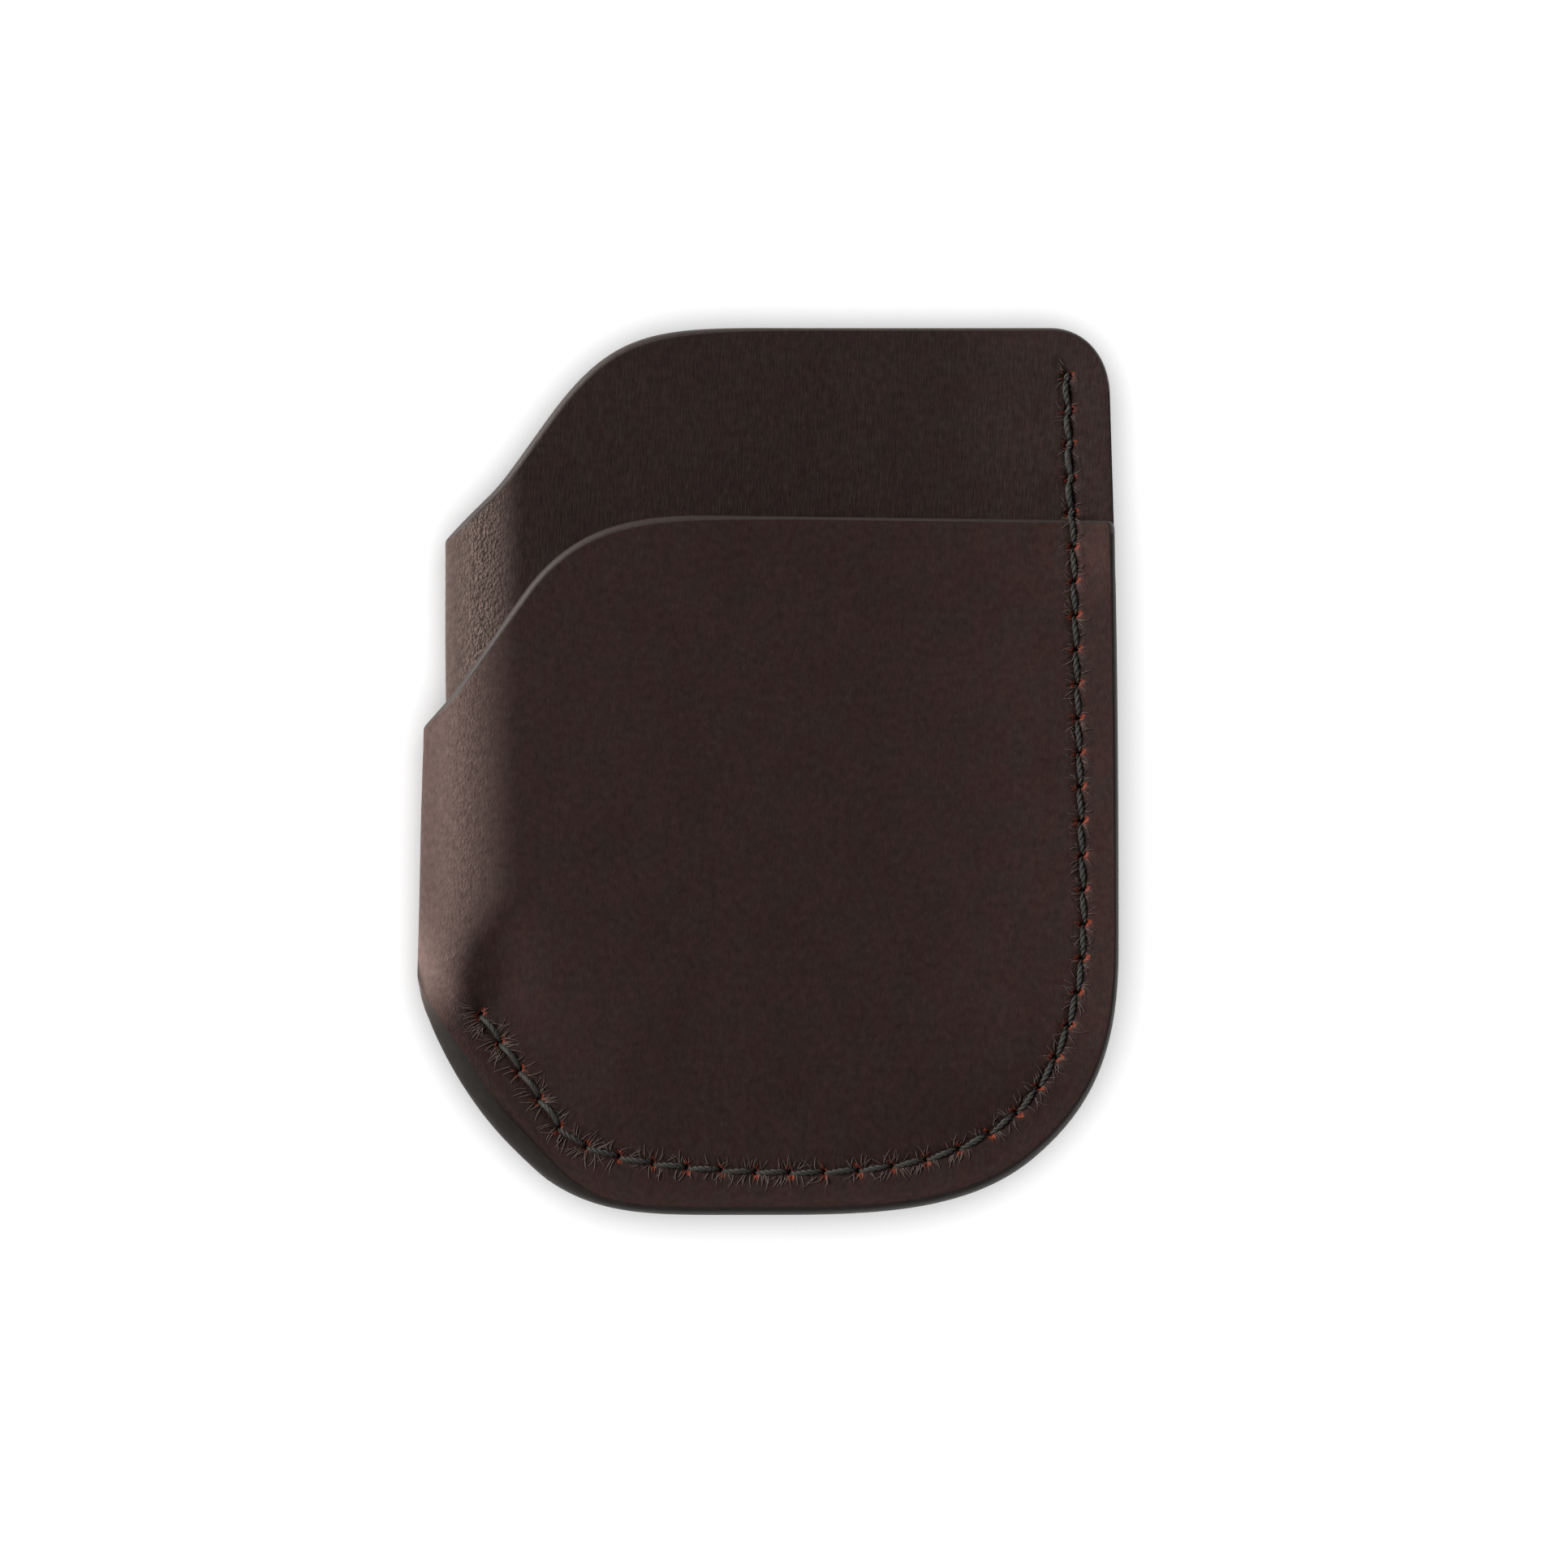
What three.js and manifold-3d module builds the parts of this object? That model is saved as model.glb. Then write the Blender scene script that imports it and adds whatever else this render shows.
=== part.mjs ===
// A slim leather card sleeve, in millimetres, lying flat on its back with +Z up and its mouth towards +Y.
// It is two pieces of leather, each folded in half at the left (-X) and nested one inside the other, and
// one lockstitched seam down the right side, round the bottom and up to the lower left corner.
import * as THREE from "three";
import { mergeVertices } from "three/addons/utils/BufferGeometryUtils.js";
import Module from "manifold-3d";

// ---- Driving dimensions ----
const LEATHER = 1.3; // thickness of both leathers
const SEAM_GAP = 0.3; // air between neighbouring layers along the seam
const POCKET_GAP = 0.6; // air beside the inner wrap in the middle of the sleeve
const SEAM_LIFT = 1.1; // height of the sewn margin's underside, so the back stitches clear the table
const PANEL_TOP = 7.5; // height of the front face in the middle of the panel
const FOLD_TOP = 8.4; // height of the front face beside the fold
const FOLD_TOP_FROM = -24; // the front face falls from FOLD_TOP to PANEL_TOP between these
const FOLD_TOP_TO = 10;
const PUFF_WIDTH = 13; // how far inside the seam the sleeve takes to reach its full thickness
const RIGHT_END = 37; // the uncut sheets run past the outline to here
const SHEET_FOOT = -46;
const SHEET_ROW = 5.75; // both sheets bend along the same rows, so their facets stay parallel
const FOLD_END = -26; // both folds have run out into flat panels here
const OUTER_FOLD = -35.6; // the outer fold's tip, at its lowest stretch
const OUTER_FOLD_LEAN = 0.024; // how far the tip moves to the right for each millimetre up
const OUTER_FOLD_LEAN_FROM = -20;
const INNER_FOLD = -32.5;
const OUTER_FOLD_EASE = 2.3; // how fast the bend straightens: 1 is an arc, higher is a tighter tip
const INNER_FOLD_EASE = 2.9;
const FOLD_STEPS = 7; // facets on each half of a fold
const PANEL_STEPS = 11; // facets across each flat panel
const HOLES = 41;
const SLIT_LENGTH = 2.0;
const SLIT_WIDTH = 1.1;
const SLIT_SLANT = THREE.MathUtils.degToRad(-67); // from the seam's direction to each slit
const THREAD_RADIUS = 0.35;
const THREAD_REST = 0.3; // air between a stitch and the leather under it
const LEG_OFFSET = 0.45; // each thread's two legs stand this far from the middle of a slit
const LOCK_OFFSET = 0.5; // the two threads' bights stop this far above and below mid-depth
const OUTER_EDGE = 25.5; // where the seam crosses the outer wrap's mouth
const STEP_CLEARANCE = 0.8; // a stitch is up on the outer wrap this far before its edge
const FLAT_STITCH = [0.2, 0.8]; // shares of a stitch's length where it bends down to its holes
const STEPPED_STITCH = [0.2, 0.26, 0.46, 0.84]; // the same, on the stitch that climbs the outer wrap's edge

const SEAM_TOP = SEAM_LIFT + 4 * LEATHER + 3 * SEAM_GAP;
const SEAM_MIDDLE = (SEAM_LIFT + SEAM_TOP) / 2;

// ---- Outlines, seen from the front ----
const vec = (x, y) => new THREE.Vector2(x, y);

// Down the right side, round the bottom and up to the fold's lower end. Both leathers share this stretch.
function drawBody(shape) {
  shape.lineTo(35.3, 19);
  shape.quadraticCurveTo(35.6, 4, 35.6, -18);
  shape.bezierCurveTo(35.6, -28.2, 33.1, -34.1, 26.9, -39.3);
  shape.bezierCurveTo(19.8, -45.2, 9.1, -45, -2, -45);
  shape.bezierCurveTo(-13, -45, -19, -45.4, -25.7, -38.6);
  shape.bezierCurveTo(-29.3, -34.9, -32.6, -29.3, -35.1, -23.9);
  shape.lineTo(-37, -19.8);
}

// The outer leather's front edge dips to the left in an S and ends in a straight cut across the fold.
function outerOutline() {
  const shape = new THREE.Shape();
  shape.moveTo(35.2, 25.4);
  drawBody(shape);
  shape.lineTo(-37, 2.9);
  shape.lineTo(-32.6, 7.3);
  shape.bezierCurveTo(-30.6, 9.3, -27.2, 14.6, -24.4, 18.4);
  shape.bezierCurveTo(-19.5, 24.9, -13.4, 25.9, -6, 25.9);
  shape.closePath();
  return shape;
}

// The inner leather stands above it, with the same S and a rounded top right corner.
function innerOutline() {
  const shape = new THREE.Shape();
  shape.moveTo(34.7, 38.8);
  drawBody(shape);
  shape.lineTo(-37, 19.9);
  shape.lineTo(-32.6, 24);
  shape.bezierCurveTo(-26.4, 29.6, -28.1, 27.7, -22.4, 35.6);
  shape.bezierCurveTo(-16.1, 44.4, -12, 45, 0, 45);
  shape.lineTo(28.6, 45);
  shape.bezierCurveTo(32, 45, 34.4, 42.4, 34.7, 38.8);
  shape.closePath();
  return shape;
}

// ---- The seam line ----
const seam = new THREE.Path();
seam.moveTo(30.4, 40.1);
seam.lineTo(32, -15);
seam.bezierCurveTo(32, -18.8, 31.4, -28.1, 25.6, -34.1);
seam.bezierCurveTo(20.1, -39.9, 10.4, -40.6, 3, -40.6);
seam.bezierCurveTo(-6, -40.6, -14.5, -39.8, -19, -37.7);
seam.bezierCurveTo(-20.8, -36.9, -21.8, -35.2, -22.9, -33.5);
seam.lineTo(-29.1, -24.6);

const holes = seam.getSpacedPoints(HOLES - 1);
const seamLine = seam.getSpacedPoints(4 * (HOLES - 1));

// How far a point lies inside the seam. It is 0 on the sewn margin, and grows past either end of the seam.
function insideSeam(x, y) {
  const last = seamLine.length - 1;
  let nearest = Infinity;
  let depth = 0;
  for (let i = 1; i <= last; i++) {
    const run = seamLine[i].clone().sub(seamLine[i - 1]);
    const length = run.length();
    const along = run.normalize();
    const rel = vec(x, y).sub(seamLine[i - 1]);
    const reach = rel.dot(along);
    const inside = rel.x * along.y - rel.y * along.x;
    const overrun = reach - THREE.MathUtils.clamp(reach, 0, length);
    const distance = Math.hypot(inside, overrun);
    if (distance >= nearest) {
      continue;
    }
    nearest = distance;
    const pastEnd = (i === 1 && overrun < 0) || (i === last && overrun > 0);
    const inwards = Math.max(inside, 0);
    depth = pastEnd ? Math.hypot(inwards, overrun) : Math.sign(inwards) * distance;
  }
  return depth;
}

// ---- Heights of the two faces of the whole sleeve ----
const puff = (x, y) => THREE.MathUtils.smoothstep(insideSeam(x, y), 0, PUFF_WIDTH);

function frontFace(x, y) {
  const nearFold = THREE.MathUtils.smoothstep(-x, -FOLD_TOP_TO, -FOLD_TOP_FROM);
  const full = THREE.MathUtils.lerp(PANEL_TOP, FOLD_TOP, nearFold);
  return THREE.MathUtils.lerp(SEAM_TOP, full, puff(x, y));
}

const backFace = (x, y) => SEAM_LIFT * (1 - puff(x, y));

// One leather's thickness and one pocket's air, from an outer face to the inner leather's face.
const toInnerWrap = (x, y) => LEATHER + THREE.MathUtils.lerp(SEAM_GAP, POCKET_GAP, puff(x, y));

const outerWrap = {
  foldAt: (y) => OUTER_FOLD + OUTER_FOLD_LEAN * Math.max(y - OUTER_FOLD_LEAN_FROM, 0),
  ease: OUTER_FOLD_EASE,
  front: frontFace,
  back: backFace,
  rows: 13,
};
const innerWrap = {
  foldAt: () => INNER_FOLD,
  ease: INNER_FOLD_EASE,
  front: (x, y) => frontFace(x, y) - toInnerWrap(x, y),
  back: (x, y) => backFace(x, y) + toInnerWrap(x, y),
  rows: 16,
};

// ---- Folding a flat sheet ----
// A bend that starts upright at the tip and straightens as (1 - v)^ease. It gives the share of the fold's
// reach and of its half height that is used up at v, and the slope there.
function bend(v, ease) {
  const steps = 200; // of the sums that stand in for the bend's integrals
  const sums = { run: 0, rise: 0, runAtV: 0, riseAtV: 0 };
  for (let i = 0; i < steps; i++) {
    const w = (i + 0.5) / steps;
    const angle = (Math.PI / 2) * (1 - w) ** ease;
    sums.run += Math.cos(angle);
    sums.rise += Math.sin(angle);
    if (w < v) {
      sums.runAtV += Math.cos(angle);
      sums.riseAtV += Math.sin(angle);
    }
  }
  const angle = (Math.PI / 2) * (1 - v) ** ease;
  return {
    run: sums.runAtV / sums.run,
    rise: sums.riseAtV / sums.rise,
    runSlope: Math.cos(angle) / sums.run,
    riseSlope: Math.sin(angle) / sums.rise,
  };
}

// Where a point of the flat sheet goes. u runs from -1 at the back panel's right end, over the fold at 0, to
// 1 at the front panel's right end, and depth is measured in from the grain side.
function foldPoint(wrap, u, y, depth) {
  const foldShare = FOLD_STEPS / (FOLD_STEPS + PANEL_STEPS);
  const side = u < 0 ? -1 : 1;
  const v = Math.min(Math.abs(u) / foldShare, 1);
  const past = Math.max(Math.abs(u) - foldShare, 0) / (1 - foldShare);
  const { run, rise, runSlope, riseSlope } = bend(v, wrap.ease);
  const tip = wrap.foldAt(y);
  const reach = FOLD_END - tip;
  const x = tip + reach * run + past * (RIGHT_END - FOLD_END);
  const front = wrap.front(x, y);
  const back = wrap.back(x, y);
  const half = (front - back) / 2;
  const slope = vec(reach * runSlope, half * riseSlope).normalize();
  const z = (front + back) / 2 + side * half * rise;
  return new THREE.Vector3(x + depth * slope.y, y, z - side * depth * slope.x);
}

function foldedSheet(wrap) {
  const columns = 2 * (FOLD_STEPS + PANEL_STEPS);
  const sheet = new THREE.BoxGeometry(2, wrap.rows, LEATHER, columns, wrap.rows, 1);
  const position = sheet.getAttribute("position");
  for (let i = 0; i < position.count; i++) {
    const y = SHEET_FOOT + (position.getY(i) + wrap.rows / 2) * SHEET_ROW;
    const depth = LEATHER / 2 - position.getZ(i);
    const placed = foldPoint(wrap, position.getX(i), y, depth);
    position.setXYZ(i, placed.x, placed.y, placed.z);
  }
  return sheet;
}

// ---- Cutting ----
const wasm = await Module();
wasm.setup();

function toSolid(geometry) {
  const bare = geometry.clone();
  bare.deleteAttribute("normal");
  bare.deleteAttribute("uv");
  const merged = mergeVertices(bare, 1e-4);
  return new wasm.Manifold(
    new wasm.Mesh({
      numProp: 3,
      vertProperties: new Float32Array(merged.getAttribute("position").array),
      triVerts: new Uint32Array(merged.index.array),
    }),
  );
}

function toGeometry(solid) {
  const mesh = solid.getMesh();
  const geometry = new THREE.BufferGeometry();
  geometry.setAttribute("position", new THREE.BufferAttribute(mesh.vertProperties, 3));
  geometry.setIndex(new THREE.BufferAttribute(mesh.triVerts, 1));
  geometry.computeVertexNormals();
  return geometry;
}

const CUT_DEPTH = 20;
const directionAt = (i) => seam.getTangent(i / (HOLES - 1));

function outlineCutter(shape) {
  const settings = { depth: CUT_DEPTH, bevelEnabled: false, curveSegments: 8 };
  const cutter = new THREE.ExtrudeGeometry(shape, settings);
  return toSolid(cutter.translate(0, 0, SEAM_MIDDLE - CUT_DEPTH / 2));
}

function slitCutter(i) {
  const slit = new THREE.BoxGeometry(SLIT_LENGTH, SLIT_WIDTH, CUT_DEPTH);
  slit.rotateZ(directionAt(i).angle() + SLIT_SLANT);
  return toSolid(slit.translate(holes[i].x, holes[i].y, SEAM_MIDDLE));
}

const slits = holes.map((_, i) => slitCutter(i)).reduce((all, slit) => all.add(slit));

function cutWrap(wrap, outline) {
  return toGeometry(toSolid(foldedSheet(wrap)).intersect(outlineCutter(outline)).subtract(slits));
}

// ---- Thread ----
// A path through given points, with one step of the sweep on each of them.
class StitchPath extends THREE.Curve {
  constructor(points) {
    super();
    this.points = points;
  }

  getPointAt(u) {
    return this.points[Math.round(u * (this.points.length - 1))].clone();
  }

  getTangentAt(u) {
    const i = Math.round(u * (this.points.length - 1));
    const before = this.points[Math.max(i - 1, 0)];
    const after = this.points[Math.min(i + 1, this.points.length - 1)];
    return after.clone().sub(before).normalize();
  }
}

// Height of the leather that a stitch lies on, on the front (side 1) or the back (side -1). Above the outer
// wrap's edge that is the inner wrap.
function bed(point, side) {
  const wrap = point.y > OUTER_EDGE + STEP_CLEARANCE ? innerWrap : outerWrap;
  return side > 0 ? wrap.front(point.x, point.y) : wrap.back(point.x, point.y);
}

// From the middle of a slit to the leg that goes on to the next stitch.
const legAt = (i) => directionAt(i).rotateAround(vec(0, 0), SLIT_SLANT).multiplyScalar(LEG_OFFSET);

function stitchPoints(side) {
  const lift = side * (THREAD_RADIUS + THREAD_REST);
  const bight = SEAM_MIDDLE + side * LOCK_OFFSET;
  const points = [];
  const put = (p, z) => points.push(new THREE.Vector3(p.x, p.y, z));
  holes.forEach((hole, i) => {
    const leg = legAt(i);
    const before = hole.clone().sub(leg);
    const after = hole.clone().add(leg);
    const surface = bed(hole, side);
    if (i > 0) {
      put(before, surface);
      put(before, bight + side * LEG_OFFSET);
    }
    put(hole, bight);
    if (i < HOLES - 1) {
      put(after, bight + side * LEG_OFFSET);
      put(after, surface);
      const end = holes[i + 1].clone().sub(legAt(i + 1));
      const stepsUp = hole.y > OUTER_EDGE && end.y < OUTER_EDGE;
      for (const share of stepsUp ? STEPPED_STITCH : FLAT_STITCH) {
        const p = after.clone().lerp(end, share);
        put(p, bed(p, side) + lift);
      }
    }
  });
  return points;
}

function thread(side) {
  const points = stitchPoints(side);
  const section = new THREE.Shape().absarc(0, 0, THREAD_RADIUS, 0, 2 * Math.PI);
  return new THREE.ExtrudeGeometry(section, {
    steps: points.length - 1,
    curveSegments: 3,
    extrudePath: new StitchPath(points),
  });
}

// ---- Assembly ----
function piece(name, geometry, color, roughness) {
  const finish = new THREE.MeshStandardMaterial({ color, roughness, metalness: 0 });
  const mesh = new THREE.Mesh(geometry, finish);
  mesh.name = name;
  return mesh;
}

const group = new THREE.Group();
group.add(piece("outer_wrap", cutWrap(outerWrap, outerOutline()), 0x332523, 0.55));
group.add(piece("inner_wrap", cutWrap(innerWrap, innerOutline()), 0x2c2321, 0.6));
group.add(piece("needle_thread", thread(1), 0x464843, 0.8));
group.add(piece("bobbin_thread", thread(-1), 0x464843, 0.8));

export default group;
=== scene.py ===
# %% [markdown]
# # A stitched leather card sleeve
# The sleeve is two pieces of vegetable-tanned leather. Each is folded in half at the left, one sits
# inside the other, and a single lockstitched seam runs down the right side, round the bottom and up to
# the lower left corner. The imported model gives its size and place, and this script gives each leather
# and each thread its real surface.

# %% Frame
import math
import random

import bpy
import numpy as np
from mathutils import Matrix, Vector, noise
from mathutils.geometry import delaunay_2d_cdt
from mathutils.kdtree import KDTree


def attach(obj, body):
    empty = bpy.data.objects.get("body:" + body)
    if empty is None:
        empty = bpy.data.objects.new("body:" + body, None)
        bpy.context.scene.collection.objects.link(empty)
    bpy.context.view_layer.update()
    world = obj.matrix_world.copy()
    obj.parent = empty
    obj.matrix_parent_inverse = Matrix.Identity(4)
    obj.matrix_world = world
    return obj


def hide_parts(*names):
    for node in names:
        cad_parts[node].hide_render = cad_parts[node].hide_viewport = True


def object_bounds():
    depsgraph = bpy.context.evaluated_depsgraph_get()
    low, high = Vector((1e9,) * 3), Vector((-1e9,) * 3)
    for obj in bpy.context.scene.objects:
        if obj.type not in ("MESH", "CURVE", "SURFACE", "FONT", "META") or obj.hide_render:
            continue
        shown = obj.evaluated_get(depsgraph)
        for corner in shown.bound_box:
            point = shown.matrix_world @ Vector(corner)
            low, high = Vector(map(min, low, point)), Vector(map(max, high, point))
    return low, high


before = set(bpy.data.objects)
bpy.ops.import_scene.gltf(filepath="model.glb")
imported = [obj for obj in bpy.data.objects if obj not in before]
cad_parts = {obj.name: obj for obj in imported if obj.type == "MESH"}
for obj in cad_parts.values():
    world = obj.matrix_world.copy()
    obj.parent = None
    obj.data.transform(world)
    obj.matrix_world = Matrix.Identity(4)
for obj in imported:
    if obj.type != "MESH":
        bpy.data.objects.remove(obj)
cad_low, cad_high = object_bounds()

MM = 0.001  # shapes are worked out in millimetres and made in metres
print("packed model, mm:", [round(side / MM, 1) for side in cad_high - cad_low])

# %% [markdown]
# ## Camera
# The sleeve lies on its back and the camera looks straight down on it, square to its front. A long lens
# from 0.7 m keeps the sides out of sight, as a product picture does. The frame is a little more than
# twice as wide as the sleeve.

# %% Camera
CAMERA_HEIGHT = 700.0
CAMERA_X = 1.65
CAMERA_Y = -1.28
FRAMED_WIDTH = 158.3  # of the plane of the front face
SENSOR = 36.0

front_height = cad_high.z / MM
camera_data = bpy.data.cameras.new("camera")
camera_data.sensor_width = SENSOR
camera_data.lens = SENSOR * (CAMERA_HEIGHT - front_height) / FRAMED_WIDTH
camera = bpy.data.objects.new("camera", camera_data)
camera.location = (CAMERA_X * MM, CAMERA_Y * MM, CAMERA_HEIGHT * MM)
bpy.context.scene.collection.objects.link(camera)
bpy.context.scene.camera = camera
print("lens, mm:", round(camera_data.lens, 1))

# %% [markdown]
# ## Colours and nodes
# Colours are written as sRGB hex and turned to the linear values that the renderer works in. Every
# material below is built by adding nodes one at a time, so one small function adds a node, sets its
# values and joins its inputs.


# %% Helpers for materials
def linear(hex_colour):
    channels = [int(hex_colour[i : i + 2], 16) / 255 for i in (1, 3, 5)]
    return (*[c / 12.92 if c <= 0.04045 else ((c + 0.055) / 1.055) ** 2.4 for c in channels], 1.0)


def add(tree, kind, settings=None, links=None):
    node = tree.nodes.new("ShaderNode" + kind)
    for key, value in (settings or {}).items():
        if isinstance(key, str) and hasattr(node, key):
            setattr(node, key, value)
        else:
            node.inputs[key].default_value = value
    for key, source in (links or {}).items():
        tree.links.new(source, node.inputs[key])
    return node


def new_material(name):
    material = bpy.data.materials.new(name)
    material.use_nodes = True
    material.node_tree.nodes.clear()
    return material, material.node_tree


print("dark brown is linear", [round(c, 4) for c in linear("#332523")[:3]])

# %% [markdown]
# ## Table and light
# The sleeve lies on a plain white table. One large soft light stands low on the left, so it rakes over
# the front: the folded edges face it and shine, the flat panels stay dark, and small wrinkles show. A
# white card on the right throws a little of it back on the sewn edge, and a pale room fills the
# shadows. Both lights are kept off the table, which would otherwise carry a long shadow, so the table
# has a lamp of its own.

# %% Table and light
TABLE_SIZE = 6.0
TABLE_CLEARANCE = 0.05
KEY_ELEVATION = math.radians(22)
KEY_TURN = math.radians(22)  # from straight left towards the sleeve's mouth
LIGHT_DISTANCE = 0.9
KEY_WIDTH = 0.9
KEY_HEIGHT = 0.45
KEY_POWER = 14.6
CARD_ELEVATION = math.radians(6)
CARD_TURN = math.radians(30)  # from straight right towards the sleeve's foot
CARD_WIDTH = 0.9
CARD_HEIGHT = 0.2
CARD_POWER = 5.5
LAMP_HEIGHT = 2.0
LAMP_WIDTH = 3.0
LAMP_POWER = 80.0
WALL = 0.3  # brightness of the room's pale walls, and of its darker ceiling
CEILING = 0.07
WALL_TOP = 0.15  # the walls fade from here up: 0 is level, 1 is upright
CEILING_START = 0.5

scene = bpy.context.scene
scene.view_settings.view_transform = "Standard"

bpy.ops.mesh.primitive_plane_add(size=TABLE_SIZE, location=(0, 0, cad_low.z - TABLE_CLEARANCE * MM))
table = bpy.context.object
table.name = "table"
paper, tree = new_material("white_paper")
paper_shader = add(tree, "BsdfDiffuse", {"Color": linear("#f6f6f6")})
add(tree, "OutputMaterial", links={"Surface": paper_shader.outputs[0]})
table.data.materials.append(paper)

world = bpy.data.worlds.new("room")
world.use_nodes = True
world.node_tree.nodes.clear()
scene.world = world
tree = world.node_tree
heading = add(tree, "TexCoord").outputs["Generated"]
height = add(tree, "SeparateXYZ", links={0: heading}).outputs["Z"]
fade = {"interpolation_type": "SMOOTHSTEP", "From Min": WALL_TOP, "From Max": CEILING_START}
glow = add(tree, "MapRange", {**fade, "To Min": WALL, "To Max": CEILING}, {"Value": height})
room = add(tree, "Background", {"Color": linear("#f8f8f8")}, {"Strength": glow.outputs[0]})
add(tree, "OutputWorld", links={"Surface": room.outputs[0]})


def soft_light(name, place, width, height, power, on_table):
    data = bpy.data.lights.new(name, "AREA")
    data.shape = "RECTANGLE"
    data.size = width
    data.size_y = height
    data.energy = power
    light = bpy.data.objects.new(name, data)
    light.location = place
    light.rotation_euler = Vector(place).to_track_quat("Z", "Y").to_euler()
    scene.collection.objects.link(light)
    receivers = bpy.data.collections.new(name + "_receivers")
    receivers.objects.link(table)
    receivers.collection_objects[0].light_linking.link_state = "INCLUDE" if on_table else "EXCLUDE"
    light.light_linking.receiver_collection = receivers
    return light


def from_left(elevation, turn):
    level = math.cos(elevation)
    return Vector((-level * math.cos(turn), level * math.sin(turn), math.sin(elevation)))


key_place = LIGHT_DISTANCE * from_left(KEY_ELEVATION, KEY_TURN)
card_place = LIGHT_DISTANCE * from_left(CARD_ELEVATION, math.pi + CARD_TURN)
soft_light("raking_light", key_place, KEY_WIDTH, KEY_HEIGHT, KEY_POWER, on_table=False)
soft_light("white_card", card_place, CARD_WIDTH, CARD_HEIGHT, CARD_POWER, on_table=False)
soft_light("table_lamp", Vector((0, 0, LAMP_HEIGHT)), LAMP_WIDTH, LAMP_WIDTH, LAMP_POWER, on_table=True)

# %% [markdown]
# ## The seam and the height of the leather
# The whole shape hangs on one line, the seam. Along it all four layers are pulled down flat on each
# other, and inside it the sleeve swells to its full thickness. The curve and the sizes are the packed
# model's. Lines are Bézier curves of any order, sampled by numpy.

# %% Curves
CURVE_STEPS = 60


def bezier(controls):
    t = np.linspace(0, 1, CURVE_STEPS)[:, None]
    order = len(controls) - 1
    terms = [
        math.comb(order, k) * (1 - t) ** (order - k) * t**k * np.array(point, float)
        for k, point in enumerate(controls)
    ]
    return sum(terms)


def trace(start, stretches):
    line = [np.array([start], float)]
    for controls in stretches:
        line.append(bezier([line[-1][-1], *controls])[1:])
    return np.concatenate(line)


def lengths_along(line):
    return np.concatenate([[0], np.cumsum(np.hypot(*np.diff(line, axis=0).T))])


def resample(line, count):
    along = lengths_along(line)
    at = np.linspace(0, along[-1], count)
    return np.stack([np.interp(at, along, line[:, k]) for k in range(line.shape[1])], 1)


def smoothstep(value, low, high):
    t = np.clip((value - low) / (high - low), 0, 1)
    return t * t * (3 - 2 * t)


def mix(a, b, share):
    return a + (b - a) * share


HOLES = 41
seam_path = trace(
    (30.4, 40.1),
    [
        [(32, -15)],
        [(32, -18.8), (31.4, -28.1), (25.6, -34.1)],
        [(20.1, -39.9), (10.4, -40.6), (3, -40.6)],
        [(-6, -40.6), (-14.5, -39.8), (-19, -37.7)],
        [(-20.8, -36.9), (-21.8, -35.2), (-22.9, -33.5)],
        [(-29.1, -24.6)],
    ],
)
seam = resample(seam_path, 4 * (HOLES - 1) + 1)
holes = seam[::4]
PITCH = lengths_along(seam_path)[-1] / (HOLES - 1)
directions = np.gradient(seam, axis=0)[::4]
directions /= np.hypot(*directions.T)[:, None]
print("stitches:", HOLES - 1, "of", round(PITCH, 2), "mm")

# %% [markdown]
# Each point of the leather needs to know where it is beside the seam: how far along it, and how far
# inside it (the pocket) or outside it (the sewn margin). This looks at every short piece of the seam
# and keeps the nearest.


# %% Place beside the seam
def beside_seam(x, y):
    start = seam[:-1]
    run = np.diff(seam, axis=0)
    length = np.hypot(*run.T)
    heading = run / length[:, None]
    last = len(start) - 1
    parts = []
    for chunk in np.array_split(np.stack([x, y], 1), len(x) // 4000 + 1):
        rel_x = chunk[:, 0, None] - start[:, 0]
        rel_y = chunk[:, 1, None] - start[:, 1]
        reach = rel_x * heading[:, 0] + rel_y * heading[:, 1]
        inside = rel_x * heading[:, 1] - rel_y * heading[:, 0]
        overrun = reach - np.clip(reach, 0, length)
        near = np.hypot(inside, overrun).argmin(1)
        rows = np.arange(len(chunk))
        parts.append(np.stack([near, reach[rows, near], inside[rows, near], overrun[rows, near]], 1))
    near, reach, inside, overrun = np.concatenate(parts).T
    past_end = ((near == 0) & (overrun < 0)) | ((near == last) & (overrun > 0))
    distance = np.hypot(inside, overrun)
    inwards = np.maximum(inside, 0)
    outwards = (1 - inside / np.maximum(distance, 1e-6)) / 2
    pocket = np.where(past_end, np.hypot(inwards, overrun), np.sign(inwards) * distance)
    return {
        "along": near * length[0] + reach,
        "across": np.where(inside < 0, -distance, distance),
        "outwards": outwards,
        "past": np.where(past_end, np.abs(overrun), 0),
        "pocket": pocket,
    }


# %% Heights of the sleeve's faces
LEATHER = 1.3
SEWN_OUTER = 1.46  # the four layers are glued and hammered before sewing, so no air shows between them
SEWN_TO_INNER = 1.49
SEWN_INNER = 1.54
POCKET_GAP = 0.6
SEAM_LIFT = 1.1
SEAM_TOP = 7.2
SEAM_MIDDLE = (SEAM_LIFT + SEAM_TOP) / 2
PANEL_TOP = 7.5
FOLD_TOP = 8.4
PUFF_WIDTH = 13.0


def front_face(x, puff):
    full = mix(PANEL_TOP, FOLD_TOP, smoothstep(-x, -10, 24))
    return mix(SEAM_TOP, full, puff)


def back_face(puff):
    return SEAM_LIFT * (1 - puff)


print("sewn margin, mm:", round(SEAM_TOP - SEAM_LIFT, 2), "puffed:", PANEL_TOP, "to", FOLD_TOP)

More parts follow.
